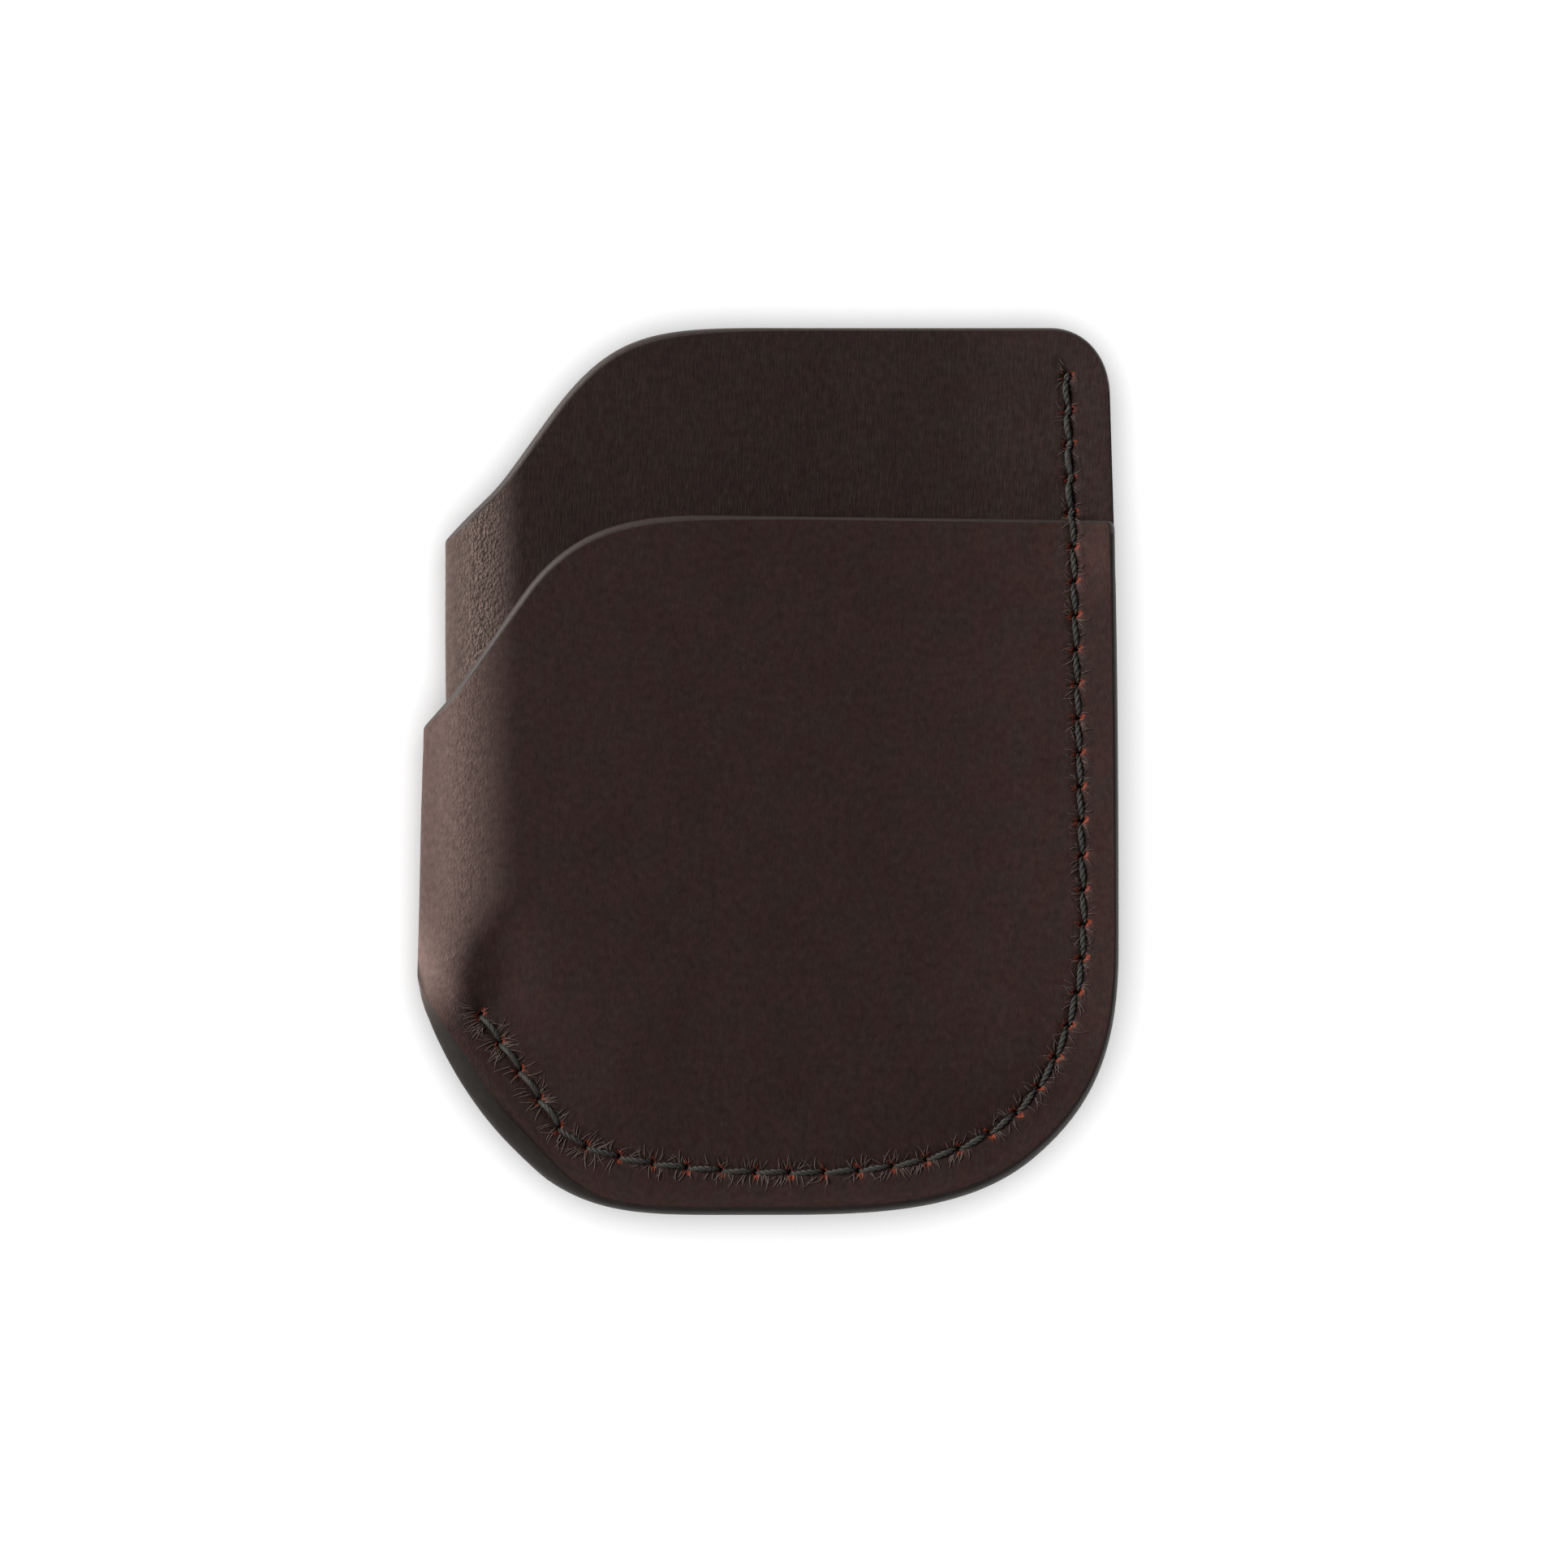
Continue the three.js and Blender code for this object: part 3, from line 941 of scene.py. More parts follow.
# the nearly black band on the grain beside the cut edge is burnish and also painted shade where the grain
# turns onto the edge, widest at the lower left
BURNISH_AND_SHADE = 0.28  # how far the black of the edge reaches onto the grain, and at the lower left
BURNISH_AND_SHADE_LEFT = 1.1
THUMB = (33.5, 22.5)  # the upper corner by the seam, where a thumb rests
THUMB_SIZE = (3.5, 4.5)
THUMB_WEAR = 1.5
# how much paler the sewn edge is, as wear and as painted light on the sewn margin
EDGE_WEAR_AND_LIGHT = 0.6


# the paling of the bent leather, which is also a painted highlight on the fold
def pulled_up_and_highlight(wrap, x, y, paling_and_highlight):
    in_foot = smoothstep(-y, 11, 21) * (1 - wrap["inner"])
    start, full, dull = (mix(paling_and_highlight[key], FOOT_PALING_AND_HIGHLIGHT[key], in_foot) for key in ("start", "full", "dull"))
    pull_and_highlight = smoothstep(-x, start, full) * (1 - dull * smoothstep(-x, *paling_and_highlight["tip"]))
    return pull_and_highlight * (1 - smoothstep(-y, 20, 27))


# burnished black beside the cut edge, which is also painted shade in the crease where the grain meets the
# edge
def burnished_and_shaded(x, y, away):
    lower_left = smoothstep(-x, 14, 26) * smoothstep(-y, 14, 24)
    return 1 - smoothstep(away, 0.02, mix(BURNISH_AND_SHADE, BURNISH_AND_SHADE_LEFT, lower_left))


# paler towards the right-hand seam and along the sewn edge, partly rubbed wear and partly painted light, and
# worn paler under the thumb
def wear_and_light_at(wrap, x, y, away):
    by_seam = smoothstep(x, 12, 34) * smoothstep(y, -36, -24)
    by_edge = EDGE_WEAR_AND_LIGHT * np.exp(-((away / 3) ** 2))
    from_thumb = ((x - THUMB[0]) / THUMB_SIZE[0]) ** 2 + ((y - THUMB[1]) / THUMB_SIZE[1]) ** 2
    return np.maximum(by_seam, by_edge) + THUMB_WEAR * np.exp(-from_thumb) * (1 - wrap["inner"])


def keep_on_points(mesh, name, columns):
    kind, field = ("FLOAT_VECTOR", "vector") if len(columns) == 3 else ("FLOAT", "value")
    values = np.column_stack(columns).astype(np.float32).ravel()
    mesh.attributes.new(name, kind, "POINT").data.foreach_set(field, values)


print("outer fold pales from", OUTER_PALING_AND_HIGHLIGHT["start"], "to", OUTER_PALING_AND_HIGHLIGHT["full"], "mm left of the middle")


# %% From sheet to mesh
def build_wrap(wrap, seed, paling_and_highlight, materials):
    sheet = wrap_sheet(wrap, seed)
    flat = np.concatenate(sheet.flat)
    depth = np.concatenate(sheet.depth)
    p, y = flat.T
    x = front_from_pattern(wrap, p, y)
    puff = smoothstep(beside_seam(x, y)["pocket"], 0, PUFF_WIDTH)
    placed, away = round_sides(fold(wrap, p, y, depth, puff))
    mesh = bpy.data.meshes.new(wrap["name"])
    mesh.from_pydata((placed * MM).tolist(), [], sheet.faces)
    mesh.polygons.foreach_set("material_index", sheet.finish)
    mesh.polygons.foreach_set("use_smooth", [True] * len(mesh.polygons))
    bend = 1 - np.minimum(np.abs(p) / wrap["length"], 1)
    keep_on_points(mesh, "cut", [p, y, depth])
    keep_on_points(mesh, "skin", [pulled_up_and_highlight(wrap, x, y, paling_and_highlight), burnished_and_shaded(x, y, away), bend])
    keep_on_points(mesh, "wear_and_light", [wear_and_light_at(wrap, x, y, away)])
    mesh.validate()
    piece = bpy.data.objects.new(wrap["name"] + "_leather", mesh)
    bpy.context.scene.collection.objects.link(piece)
    for material in materials:
        mesh.materials.append(material)
    print(piece.name, "triangles:", sum(len(face) - 2 for face in sheet.faces))
    return piece

# %% [markdown]
# ## Leather
# Both wraps are full-grain, drum-dyed, vegetable-tanned calf, waxed and rubbed. Its colour is a very
# dark brown that drifts redder and greener over a few millimetres. Under a raking light it shows fine
# hair pores and short fibres. It is nearly matt: a roughness of about 0.65, a weak reflection and the
# usual index of 1.5. A picture of leather would repeat and would have to be unwrapped. These patterns
# are noise laid on the flat piece, in millimetres, so they bend round the fold with it. Each feature
# has a small function, and the last one joins them.


# %% Dyed colour
def dyed_tone(tree, cut, dark, light):
    # clouds 6 mm across, as the dye took, and drifts of a greener wax, 3 mm across
    clouds = add(tree, "TexNoise", {"Scale": 0.16, "Detail": 3.0, "Roughness": 0.55}, {"Vector": cut})
    drift = add(tree, "Mapping", {"Location": (40.0, 15.0, 3.0), "Scale": (0.5, 0.3, 1.0)}, {"Vector": cut})
    soft = {"Scale": 1.0, "Detail": 3.0, "Roughness": 0.6}
    drifts = add(tree, "TexNoise", soft, {"Vector": drift.outputs[0]})
    some = {"From Min": 0.42, "From Max": 0.66, "To Min": 0.0, "To Max": 0.6}
    waxed = add(tree, "MapRange", some, {"Value": drifts.outputs["Fac"]})
    browns = {"data_type": "RGBA", 6: linear(dark), 7: linear(light)}
    tone = add(tree, "Mix", browns, {0: clouds.outputs["Fac"]})
    green_brown = {"data_type": "RGBA", 7: linear("#332c28")}
    return add(tree, "Mix", green_brown, {0: waxed.outputs[0], 6: tone.outputs[2]}).outputs[2]


# %% Fibres, pits and pebbles
def short_fibres(tree, cut, fibre_size):
    # they run from foot to mouth
    along = add(tree, "Mapping", {"Scale": fibre_size}, {"Vector": cut})
    wavy = {"Scale": 1.0, "Detail": 3.0, "Roughness": 0.6, "Distortion": 0.4}
    return add(tree, "TexNoise", wavy, {"Vector": along.outputs[0]}).outputs["Fac"]


def hair_pits(tree, cut):
    # shallow pits 1.8 mm apart, 0.3 mm across at half their depth
    pits = add(tree, "TexVoronoi", {"Scale": 0.55, "Randomness": 1.0}, {"Vector": cut})
    deep = {"interpolation_type": "SMOOTHSTEP", "From Min": 0.02, "From Max": 0.16}
    deep.update({"To Min": 1.0, "To Max": 0.0})
    return add(tree, "MapRange", deep, {"Value": pits.outputs["Distance"]}).outputs[0]


def squeezed_pebbles(tree, cut, bend, pull_and_highlight):
    # pebbles 0.25 mm across with fine cracks between them, squeezed up where the leather bends. The cracks
    # also darken the colour, as dye in them and as painted shade
    across = add(tree, "Mapping", {"Scale": (4.3, 3.1, 1.0), "Rotation": (0, 0, 0.35)}, {"Vector": cut})
    stray = add(tree, "TexNoise", {"Scale": 0.8, "Detail": 2.0}, {"Vector": across.outputs[0]})
    by_a_cell = {"operation": "MULTIPLY_ADD", 1: (0.9, 0.9, 0.0)}
    strayed = add(tree, "VectorMath", by_a_cell, {0: stray.outputs["Color"], 2: across.outputs[0]})
    cells = {"feature": "SMOOTH_F1", "Scale": 1.0, "Smoothness": 0.35}
    pebbles = add(tree, "TexVoronoi", cells, {"Vector": strayed.outputs[0]})
    bent = add(tree, "MapRange", {"From Min": 0.05, "From Max": 0.55}, {"Value": bend})
    bent = add(tree, "Math", {"operation": "MAXIMUM"}, {0: bent.outputs[0], 1: pull_and_highlight})
    # round the tip of the fold the leather is stretched smooth again
    fade = {"interpolation_type": "SMOOTHSTEP", "From Min": 0.3, "From Max": 0.75}
    fade.update({"To Min": 1.0, "To Max": 0.3})
    smoothed = add(tree, "MapRange", fade, {"Value": bend})
    cracked = pebbles.outputs["Distance"]
    for share in (bent, smoothed):
        cracked = add(tree, "Math", {"operation": "MULTIPLY"}, {0: cracked, 1: share.outputs[0]}).outputs[0]
    return cracked


# %% Grain leather
# how much paler the handled places are: wear, and on the sewn margin painted light
WORN_AND_LIT_PALER = 0.5
FLECK_DEPTH = 0.15  # these depths are in tenths of a millimetre
PIT_DEPTH = 0.12
CRACK_DEPTH = 2.2


def grain_leather(name, dark, light, pale, fibre_size, fibre_depth, mottle, crackle_and_shade):
    material, tree = new_material(name)
    cut = add(tree, "Attribute", {"attribute_name": "cut"}).outputs["Vector"]
    skin = add(tree, "Attribute", {"attribute_name": "skin"}).outputs["Vector"]
    wear_and_light = add(tree, "Attribute", {"attribute_name": "wear_and_light"}).outputs["Fac"]
    pull_and_highlight, burnish_and_shade, bend = add(tree, "SeparateXYZ", links={0: skin}).outputs
    flecks = add(tree, "TexNoise", {"Scale": 1.3, "Detail": 2.0}, {"Vector": cut}).outputs["Fac"]
    fibres = short_fibres(tree, cut, fibre_size)
    cracked = squeezed_pebbles(tree, cut, bend, pull_and_highlight)

    # waxed leather pales where it bends, and that pale colour is also a painted highlight on the fold;
    # beside the cut edge the grain is burnished nearly black, and that band is also painted shade where the
    # grain meets the edge
    tone = dyed_tone(tree, cut, dark, light)
    for share, colour in ((pull_and_highlight, pale), (burnish_and_shade, "#1e1a19")):
        tone = add(tree, "Mix", {"data_type": "RGBA", 7: linear(colour)}, {0: share, 6: tone}).outputs[2]
    # flecks 1 mm across and fibres mottle it, handling rubs it paler, which on the sewn margin is also
    # painted light, and the cracks are darker with dye and with painted shade
    shades = []
    for source, size in ((flecks, mottle), (fibres, 0.8 * mottle)):
        swing = {"From Min": 0.3, "From Max": 0.7, "To Min": 1 - size, "To Max": 1 + size}
        shades.append(add(tree, "MapRange", swing, {"Value": source}))
    for source, size in ((wear_and_light, WORN_AND_LIT_PALER), (cracked, -crackle_and_shade)):
        shades.append(add(tree, "Math", {"operation": "MULTIPLY_ADD", 1: size, 2: 1.0}, {0: source}))
    for shade in shades:
        scaled = {0: tone, "Scale": shade.outputs[0]}
        tone = add(tree, "VectorMath", {"operation": "SCALE"}, scaled).outputs[0]

    height = add(tree, "Math", {"operation": "MULTIPLY", 1: fibre_depth}, {0: fibres}).outputs[0]
    pits = hair_pits(tree, cut)
    for source, size in ((flecks, FLECK_DEPTH), (pits, -PIT_DEPTH), (cracked, -CRACK_DEPTH * crackle_and_shade)):
        more = {0: source, 2: height}
        height = add(tree, "Math", {"operation": "MULTIPLY_ADD", 1: size}, more).outputs[0]
    bump = add(tree, "Bump", {"Strength": 1.0, "Distance": 0.1 * MM}, {"Height": height})
    dull = {"From Min": 0.3, "From Max": 0.7, "To Min": 0.6, "To Max": 0.74}
    rough = add(tree, "MapRange", dull, {"Value": fibres})
    shader = add(
        tree,
        "BsdfPrincipled",
        {"IOR": 1.5, "Specular IOR Level": 0.06},
        {"Base Color": tone, "Roughness": rough.outputs[0], "Normal": bump.outputs[0]},
    )
    add(tree, "OutputMaterial", links={"Surface": shader.outputs[0]})
    return material


# fibres are 0.3 mm by 0.7 mm on the outer leather and 0.2 mm by 1.3 mm on the inner
OUTER_LOOK = {"fibre_size": (3.6, 1.5, 1.0), "fibre_depth": 0.35, "mottle": 0.15, "crackle_and_shade": 0.3}
INNER_LOOK = {"fibre_size": (4.6, 0.75, 1.0), "fibre_depth": 0.65, "mottle": 0.18, "crackle_and_shade": 0.65}
# the third colour is the fold's paling, which is also a painted highlight
outer_grain = grain_leather("dyed_calf_outer", "#342422", "#3f2d2a", "#735f59", **OUTER_LOOK)
inner_grain = grain_leather("dyed_calf_inner", "#302322", "#392b29", "#87736b", **INNER_LOOK)
print("grain leathers made")

# %% [markdown]
# ## Flesh side, cut edge and core
# The flesh side is the unfinished back of the leather: matt, napped and a little lighter. The cut edge
# is sanded, waxed and burnished until it is smooth and grey-black, with faint lines where the fibres
# lie. The bevelled mouth is rubbed less and stays greyer. The core is where the dye never reached, so a
# fresh cut through the skin shows a warm, fuzzy red-brown. All are one kind of noise between two
# colours, so one function makes them.


# %% Flesh, edge and core
def plain_leather(name, dark, light, scale, rough, specular, depth, fold_pale_and_highlight=None):
    material, tree = new_material(name)
    cut = add(tree, "Attribute", {"attribute_name": "cut"}).outputs["Vector"]
    spread = add(tree, "Mapping", {"Scale": scale}, {"Vector": cut})
    grain = add(tree, "TexNoise", {"Scale": 1.0, "Detail": 3.0}, {"Vector": spread.outputs[0]})
    browns = {"data_type": "RGBA", 6: linear(dark), 7: linear(light)}
    tone = add(tree, "Mix", browns, {0: grain.outputs["Fac"]})
    if fold_pale_and_highlight:
        # where the edge runs into the fold it pales with it, and that pale colour is also a painted
        # highlight
        skin = add(tree, "Attribute", {"attribute_name": "skin"}).outputs["Vector"]
        pull_and_highlight = add(tree, "SeparateXYZ", links={0: skin}).outputs["X"]
        paler = {"data_type": "RGBA", 7: linear(fold_pale_and_highlight)}
        tone = add(tree, "Mix", paler, {0: pull_and_highlight, 6: tone.outputs[2]})
    raised = {"Strength": 1.0, "Distance": depth * MM}
    bump = add(tree, "Bump", raised, {"Height": grain.outputs["Fac"]})
    shader = add(
        tree,
        "BsdfPrincipled",
        {"IOR": 1.5, "Roughness": rough, "Specular IOR Level": specular},
        {"Base Color": tone.outputs[2], "Normal": bump.outputs[0]},
    )
    add(tree, "OutputMaterial", links={"Surface": shader.outputs[0]})
    return material


flesh_side = plain_leather("napped_flesh_side", "#33261f", "#4a3a31", (3, 3, 3), 0.9, 0.3, 0.08)
side_edge = plain_leather("burnished_side", "#252120", "#36312e", (0.8, 0.8, 6), 0.55, 0.12, 0.03, "#655a53")
mouth_edge = plain_leather("burnished_mouth", "#38302d", "#4a403d", (1.6, 1.6, 6), 0.5, 0.25, 0.04)
core = plain_leather("undyed_core", "#74301f", "#9c4a35", (5, 5, 5), 0.8, 0.3, 0.06)
print("flesh, edge and core made")

# %% [markdown]
# ## The two leathers
# Each wrap is built, hung on the root body and stands for its imported node, which is hidden.

# %% Build the leathers
OUTER_SEED = 1.0  # each leather has its own sag and puckers
INNER_SEED = 9.0
finishes = [flesh_side, side_edge, core, mouth_edge]
outer_piece = build_wrap(outer, OUTER_SEED, OUTER_PALING_AND_HIGHLIGHT, [outer_grain, *finishes])
inner_piece = build_wrap(inner, INNER_SEED, INNER_PALING_AND_HIGHLIGHT, [inner_grain, *finishes])
for piece, wrap, slot in ((outer_piece, outer, "outer_leather"), (inner_piece, inner, "inner_leather")):
    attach(piece, "root")
    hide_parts(wrap["name"])

# %% [markdown]
# ## Thread
# The seam is a lockstitch in waxed, three-ply twisted polyester, about 0.6 mm thick. The needle thread
# shows on the front and the bobbin thread on the back. On a real seam they hook round each other inside
# the leather. Here each one turns back a little short of the other, so neither cuts through it. The
# first and last stitches are sewn twice to lock them. The line of each thread is worked out first, then
# three plies are wound round it.

# %% Thread lines
THREAD = 0.58
PLIES = 3
PLY_RADIUS = 0.155
PLY_OFFSET = 0.155
TWIST = 1.9
LEG_ACROSS = 0.15  # along the slit
LEG_AHEAD = 0.2  # along the seam
SINK = 0.22  # the thread is pulled this far into the leather
LEG_DROP = 0.28  # at both ends of a stitch its middle is this far below the surface
DOUBLED = 4  # stitches sewn twice at each end
DOUBLE_SHIFT = 0.24
DOUBLE_LIFT = 0.1
LOCK = 0.5  # the two threads turn back this far from the middle of the leather
LEG_HEIGHT = 0.8
LOOSE = 0.05
STEP_DOWN = (25.4, 26.0)  # the heights where the thread steps off the outer leather onto the inner one

legs = np.stack([np.cos(slit_heading), np.sin(slit_heading)], 1) * LEG_ACROSS + directions * LEG_AHEAD


def bed(points, side):
    x, y = points.T
    spot = beside_seam(x, y)
    puff = smoothstep(spot["pocket"], 0, PUFF_WIDTH)
    heights = []
    for wrap, seed in ((outer, OUTER_SEED), (inner, INNER_SEED)):
        grain, _ = layer_faces(wrap, puff)
        top = front_face(x, puff) - grain
        foot = back_face(puff) + grain
        tip = tip_at(wrap, y)
        share = np.interp((x - tip) / (FOLD_END - tip), wrap["run"], wrap["share"])
        rise = np.where(x < FOLD_END, np.interp(share, wrap["share"], wrap["rise"]), 1)
        sunk = relief(x, y, spot, seed)
        heights.append((top + foot) / 2 + side * ((top - foot) / 2 * rise - sunk))
    return mix(heights[0], heights[1], smoothstep(y, *STEP_DOWN))


def thread_line(side, seed):
    jitter = random.Random(seed)
    order = [*range(DOUBLED, 0, -1), *range(0, HOLES - 1), *range(HOLES - 1, HOLES - 1 - DOUBLED, -1)]
    visits = order + [HOLES - 1 - DOUBLED]
    line = []
    for here, there in zip(visits[:-1], visits[1:]):
        step = 1 if there > here else -1
        start = holes[here] + step * legs[here]
        end = holes[there] - step * legs[there]
        run = end - start
        right = np.array([run[1], -run[0]]) / np.hypot(*run)
        doubled = min(here, there) < DOUBLED or max(here, there) > HOLES - 1 - DOUBLED
        shift = DOUBLE_SHIFT * doubled + jitter.uniform(-LOOSE, LOOSE)
        shares = np.array([0.0, 0.12, 0.3, 0.5, 0.7, 0.88, 1.0])
        bow = np.sin(shares * math.pi)
        places = start + shares[:, None] * run + (bow * shift * step)[:, None] * right
        height = bed(places, side)
        proud = (THREAD / 2 - SINK) * bow**0.5 - LEG_DROP * (1 - bow)
        tops = height + side * (proud + DOUBLE_LIFT * doubled * bow)
        if not line:
            line.append((*start, SEAM_MIDDLE + side * (LOCK + 0.6)))
        line += [(px, py, pz) for (px, py), pz in zip(places, tops)]
        line.append((*mix(end, holes[there], 0.35), SEAM_MIDDLE + side * (LOCK + LEG_HEIGHT)))
        line.append((*holes[there], SEAM_MIDDLE + side * LOCK))
        back = holes[there] + (1 if there < HOLES - 1 and step > 0 else -1) * legs[there] * 0.35
        line.append((*back, SEAM_MIDDLE + side * (LOCK + LEG_HEIGHT)))
    return smooth_line(np.array(line))


def lengths_in_space(line):
    return np.concatenate([[0], np.cumsum(np.linalg.norm(np.diff(line, axis=0), axis=1))])


def smooth_line(points, step=0.2):
    # a Catmull-Rom curve through the points, sampled evenly
    padded = np.concatenate([2 * points[:1] - points[1:2], points, 2 * points[-1:] - points[-2:-1]])
    t = np.linspace(0, 1, 9)[:-1, None]
    parts = []
    for a, b, c, d in zip(padded, padded[1:], padded[2:], padded[3:]):
        bend = (2 * a - 5 * b + 4 * c - d) * t**2
        parts.append(0.5 * (2 * b + (c - a) * t + bend + (3 * b - a - 3 * c + d) * t**3))
    dense = np.concatenate([*parts, points[-1:]])
    along = lengths_in_space(dense)
    at = np.linspace(0, along[-1], int(along[-1] / step))
    return np.stack([np.interp(at, along, dense[:, k]) for k in range(3)], 1)


needle_line = thread_line(1, 3)
bobbin_line = thread_line(-1, 4)
print("thread line points:", len(needle_line), len(bobbin_line))

# %% [markdown]
# The needle has also dragged up fibres of the leather. They lie in a fan on both sides of every hole,
# the shortest still showing the undyed core, and they are longest at the lower left, where the leather
# is bent and looser. The thread itself has a fuzz of broken filaments. Hair particles would make them
# too, but they are hard to place, so each fibre is a thin tube on a curve, drawn with a seeded random
# choice of place, length and curl.

# %% Winding plies round a line
FUZZ = 760
FUZZ_RADIUS = 0.022
FUZZ_ROOT = 0.33  # from the middle of the thread
ON_TOP = 2.2  # the thread shows where it is this far above or below the middle of the leather
CLEAR_OF_TABLE = 0.03
TUFT_LEAST = 5
TUFT_MORE = 9
TUFT_RAW = 2  # fibres of each tuft that show the undyed core
TUFT_LIFT = 0.05
TUFT_RADIUS = 0.038


def frames_along(line):
    # directions across the line that turn as little as possible from one point to the next
    ahead = np.gradient(line, axis=0)
    ahead /= np.linalg.norm(ahead, axis=1)[:, None]
    across = np.cross(ahead[0], (0.3, 0.5, 0.8))
    first = []
    for direction in ahead:
        across = across - direction * np.dot(across, direction)
        across /= np.linalg.norm(across)
        first.append(across)
    first = np.array(first)
    return ahead, first, np.cross(ahead, first)


def tube(line, radius, sides, vertices, faces, notes, note):
    _, first, second = frames_along(line)
    turn = np.arange(sides) / sides * 2 * math.pi
    radius = np.broadcast_to(radius, len(line))[:, None, None]
    ring = np.cos(turn)[None, :, None] * first[:, None] + np.sin(turn)[None, :, None] * second[:, None]
    start = len(vertices)
    vertices.extend((line[:, None] + radius * ring).reshape(-1, 3))
    along = lengths_in_space(line)
    notes.extend((a, s, note) for a in along for s in turn)
    for i in range(len(line) - 1):
        for k in range(sides):
            a = start + i * sides + k
            b = start + i * sides + (k + 1) % sides
            faces.append((a, b, b + sides, a + sides))
    faces.append(tuple(start + k for k in range(sides))[::-1])
    faces.append(tuple(start + (len(line) - 1) * sides + k for k in range(sides)))


def tuft_hairs(side, seed):
    # leather fibres that the needle has dragged up lie in a fan on both sides of every hole
    chance = random.Random(seed)
    hairs = []
    for hole, ahead in zip(holes, directions):
        right = np.array([ahead[1], -ahead[0]])
        lively = float(mix(0.5, 1.0, smoothstep(-hole[1], 5, 32)) + 0.85 * smoothstep(-hole[0], 8, 24))
        for outwards in (-1, 1):
            for k in range(chance.randint(TUFT_LEAST, TUFT_LEAST + round(TUFT_MORE * lively))):
                raw = k < TUFT_RAW
                at = chance.uniform(-0.3, 0.3) if raw else chance.uniform(-1.4, 1.4)
                fan = 0.55 * at + chance.gauss(0, 0.25) - 0.25 * outwards
                way = outwards * right + fan * ahead
                way /= np.hypot(*way)
                long = chance.uniform(0.4, 0.7) if raw else chance.uniform(0.35, 0.8) * (1 + 0.8 * lively)
                t = np.linspace(0, 1, 6)[:, None]
                curl = chance.gauss(0, 0.35)
                root = hole + at * ahead + outwards * chance.uniform(0.2, 0.45) * right
                places = root + long * (way * t + curl * t**2 * np.array([-way[1], way[0]]))
                arch = TUFT_LIFT * np.sin(t[:, 0] * math.pi * chance.uniform(0.6, 1)) + 0.01
                heights = bed(places, side) + side * arch
                hairs.append((np.column_stack([places, heights]), 2 if raw else 1))
    return hairs


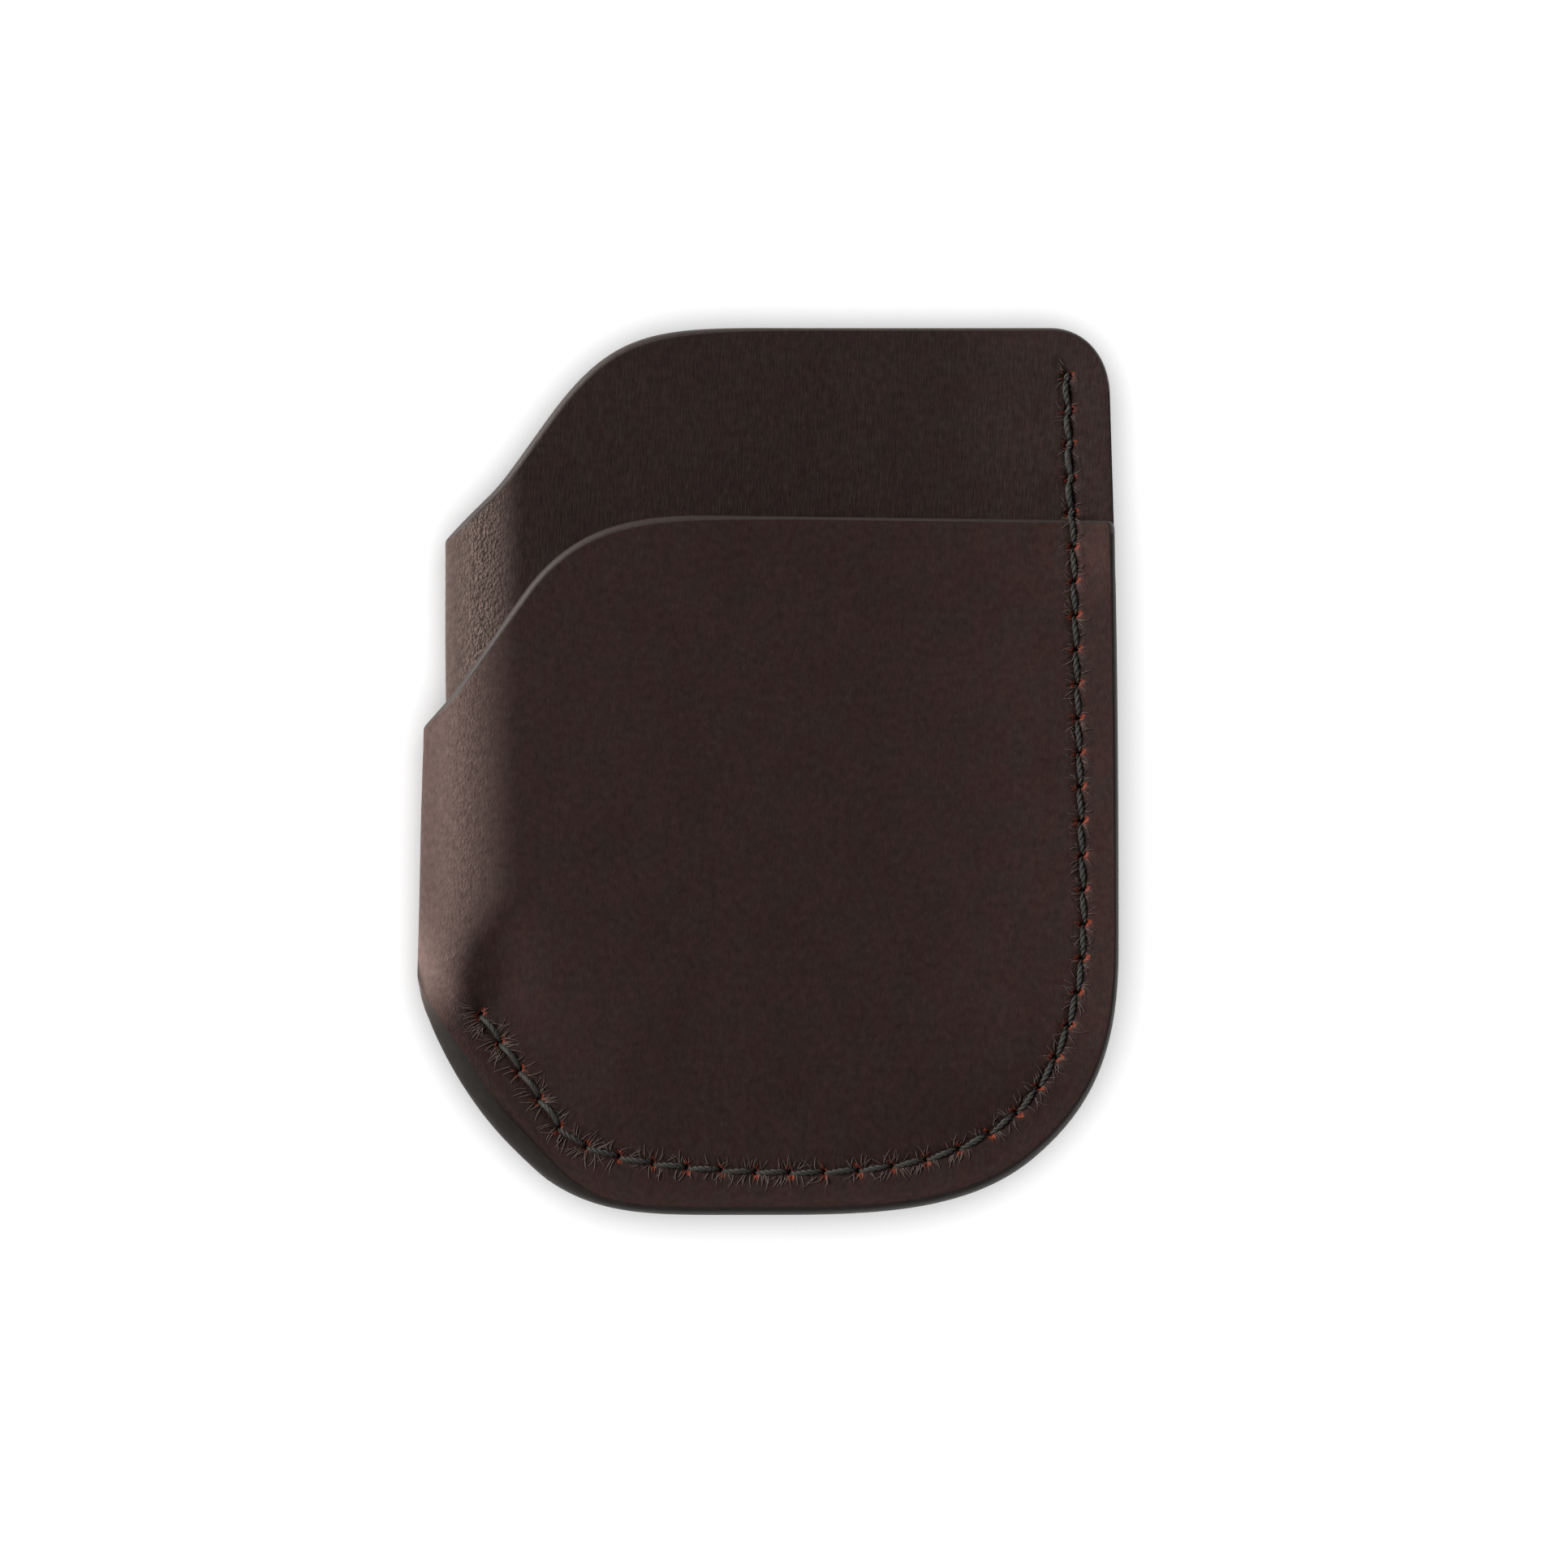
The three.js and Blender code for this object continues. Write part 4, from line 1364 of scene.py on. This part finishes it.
def twisted_thread(name, line, side, seed, material):
    vertices, faces, notes = [], [], []
    _, first, second = frames_along(line)
    along = lengths_in_space(line)
    for ply in range(PLIES):
        angle = 2 * math.pi * (along / TWIST + ply / PLIES)
        centre = line + PLY_OFFSET * (np.cos(angle)[:, None] * first + np.sin(angle)[:, None] * second)
        tube(centre, PLY_RADIUS, 7, vertices, faces, notes, ply)
    fuzz = random.Random(seed)
    showing = np.nonzero(side * (line[:, 2] - SEAM_MIDDLE) > ON_TOP)[0]
    for _ in range(FUZZ):
        i = fuzz.choice(showing)
        angle = fuzz.uniform(0, 2 * math.pi)
        out = math.cos(angle) * first[i] + math.sin(angle) * second[i]
        if out[2] * side < -0.2:
            continue
        lean = np.array([fuzz.uniform(-1, 1) for _ in range(3)])
        reach = fuzz.uniform(0.25, 0.75)
        t = np.linspace(0, 1, 5)[:, None]
        hair = line[i] + out * FUZZ_ROOT + reach * (out * t * 0.7 + lean * t**2 * 0.5)
        if hair[:, 2].min() < CLEAR_OF_TABLE:
            continue
        tube(hair, FUZZ_RADIUS * (1 - 0.6 * t[:, 0]), 3, vertices, faces, notes, 4)
    finish = [0] * len(faces)
    taper = TUFT_RADIUS * np.array([1.0, 1.1, 1.0, 0.8, 0.6, 0.3])
    for hair, slot in tuft_hairs(side, seed + 30):
        tube(hair, taper, 3, vertices, faces, notes, 5)
        finish += [slot] * (len(faces) - len(finish))
    mesh = bpy.data.meshes.new(name)
    mesh.from_pydata((np.array(vertices) * MM).tolist(), [], faces)
    mesh.polygons.foreach_set("use_smooth", [True] * len(mesh.polygons))
    wound = mesh.attributes.new("wound", "FLOAT_VECTOR", "POINT")
    wound.data.foreach_set("vector", np.array(notes, np.float32).ravel())
    mesh.polygons.foreach_set("material_index", finish)
    for finish_material in (material, torn_fibre, core):
        mesh.materials.append(finish_material)
    piece = bpy.data.objects.new(name, mesh)
    bpy.context.scene.collection.objects.link(piece)
    print(name, "triangles:", sum(len(f) - 2 for f in faces))
    return piece

# %% [markdown]
# Waxed polyester thread is a bundle of fine filaments with a dull, slightly greasy sheen. The filaments
# run along each ply, so the colour and the bump are stretched along it. Its colour is a dark, warm
# grey.

# %% Waxed thread
waxed, tree = new_material("waxed_polyester_thread")
wound = add(tree, "Attribute", {"attribute_name": "wound"}).outputs["Vector"]
stretched = add(tree, "Mapping", {"Scale": (0.9, 4.0, 3.0)}, {"Vector": wound})
filaments = add(tree, "TexNoise", {"Scale": 1.0, "Detail": 2.0}, {"Vector": stretched.outputs[0]})
thread_tone = add(
    tree,
    "Mix",
    {"data_type": "RGBA", 6: linear("#31302d"), 7: linear("#524f4a")},
    {0: filaments.outputs["Fac"]},
)
thread_bump = add(
    tree,
    "Bump",
    {"Strength": 1.0, "Distance": 0.05 * MM},
    {"Height": filaments.outputs["Fac"]},
)
thread_shader = add(
    tree,
    "BsdfPrincipled",
    {"IOR": 1.55, "Roughness": 0.6, "Specular IOR Level": 0.25},
    {"Base Color": thread_tone.outputs[2], "Normal": thread_bump.outputs[0]},
)
add(tree, "OutputMaterial", links={"Surface": thread_shader.outputs[0]})

torn_fibre = plain_leather("torn_leather_fibre", "#57483f", "#80706a", (2, 2, 2), 0.8, 0.2, 0.02)
needle = twisted_thread("needle_thread_twisted", needle_line, 1, 21, waxed)
bobbin = twisted_thread("bobbin_thread_twisted", bobbin_line, -1, 22, waxed)
for piece, node in ((needle, "needle_thread"), (bobbin, "bobbin_thread")):
    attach(piece, "root")
    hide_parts(node)
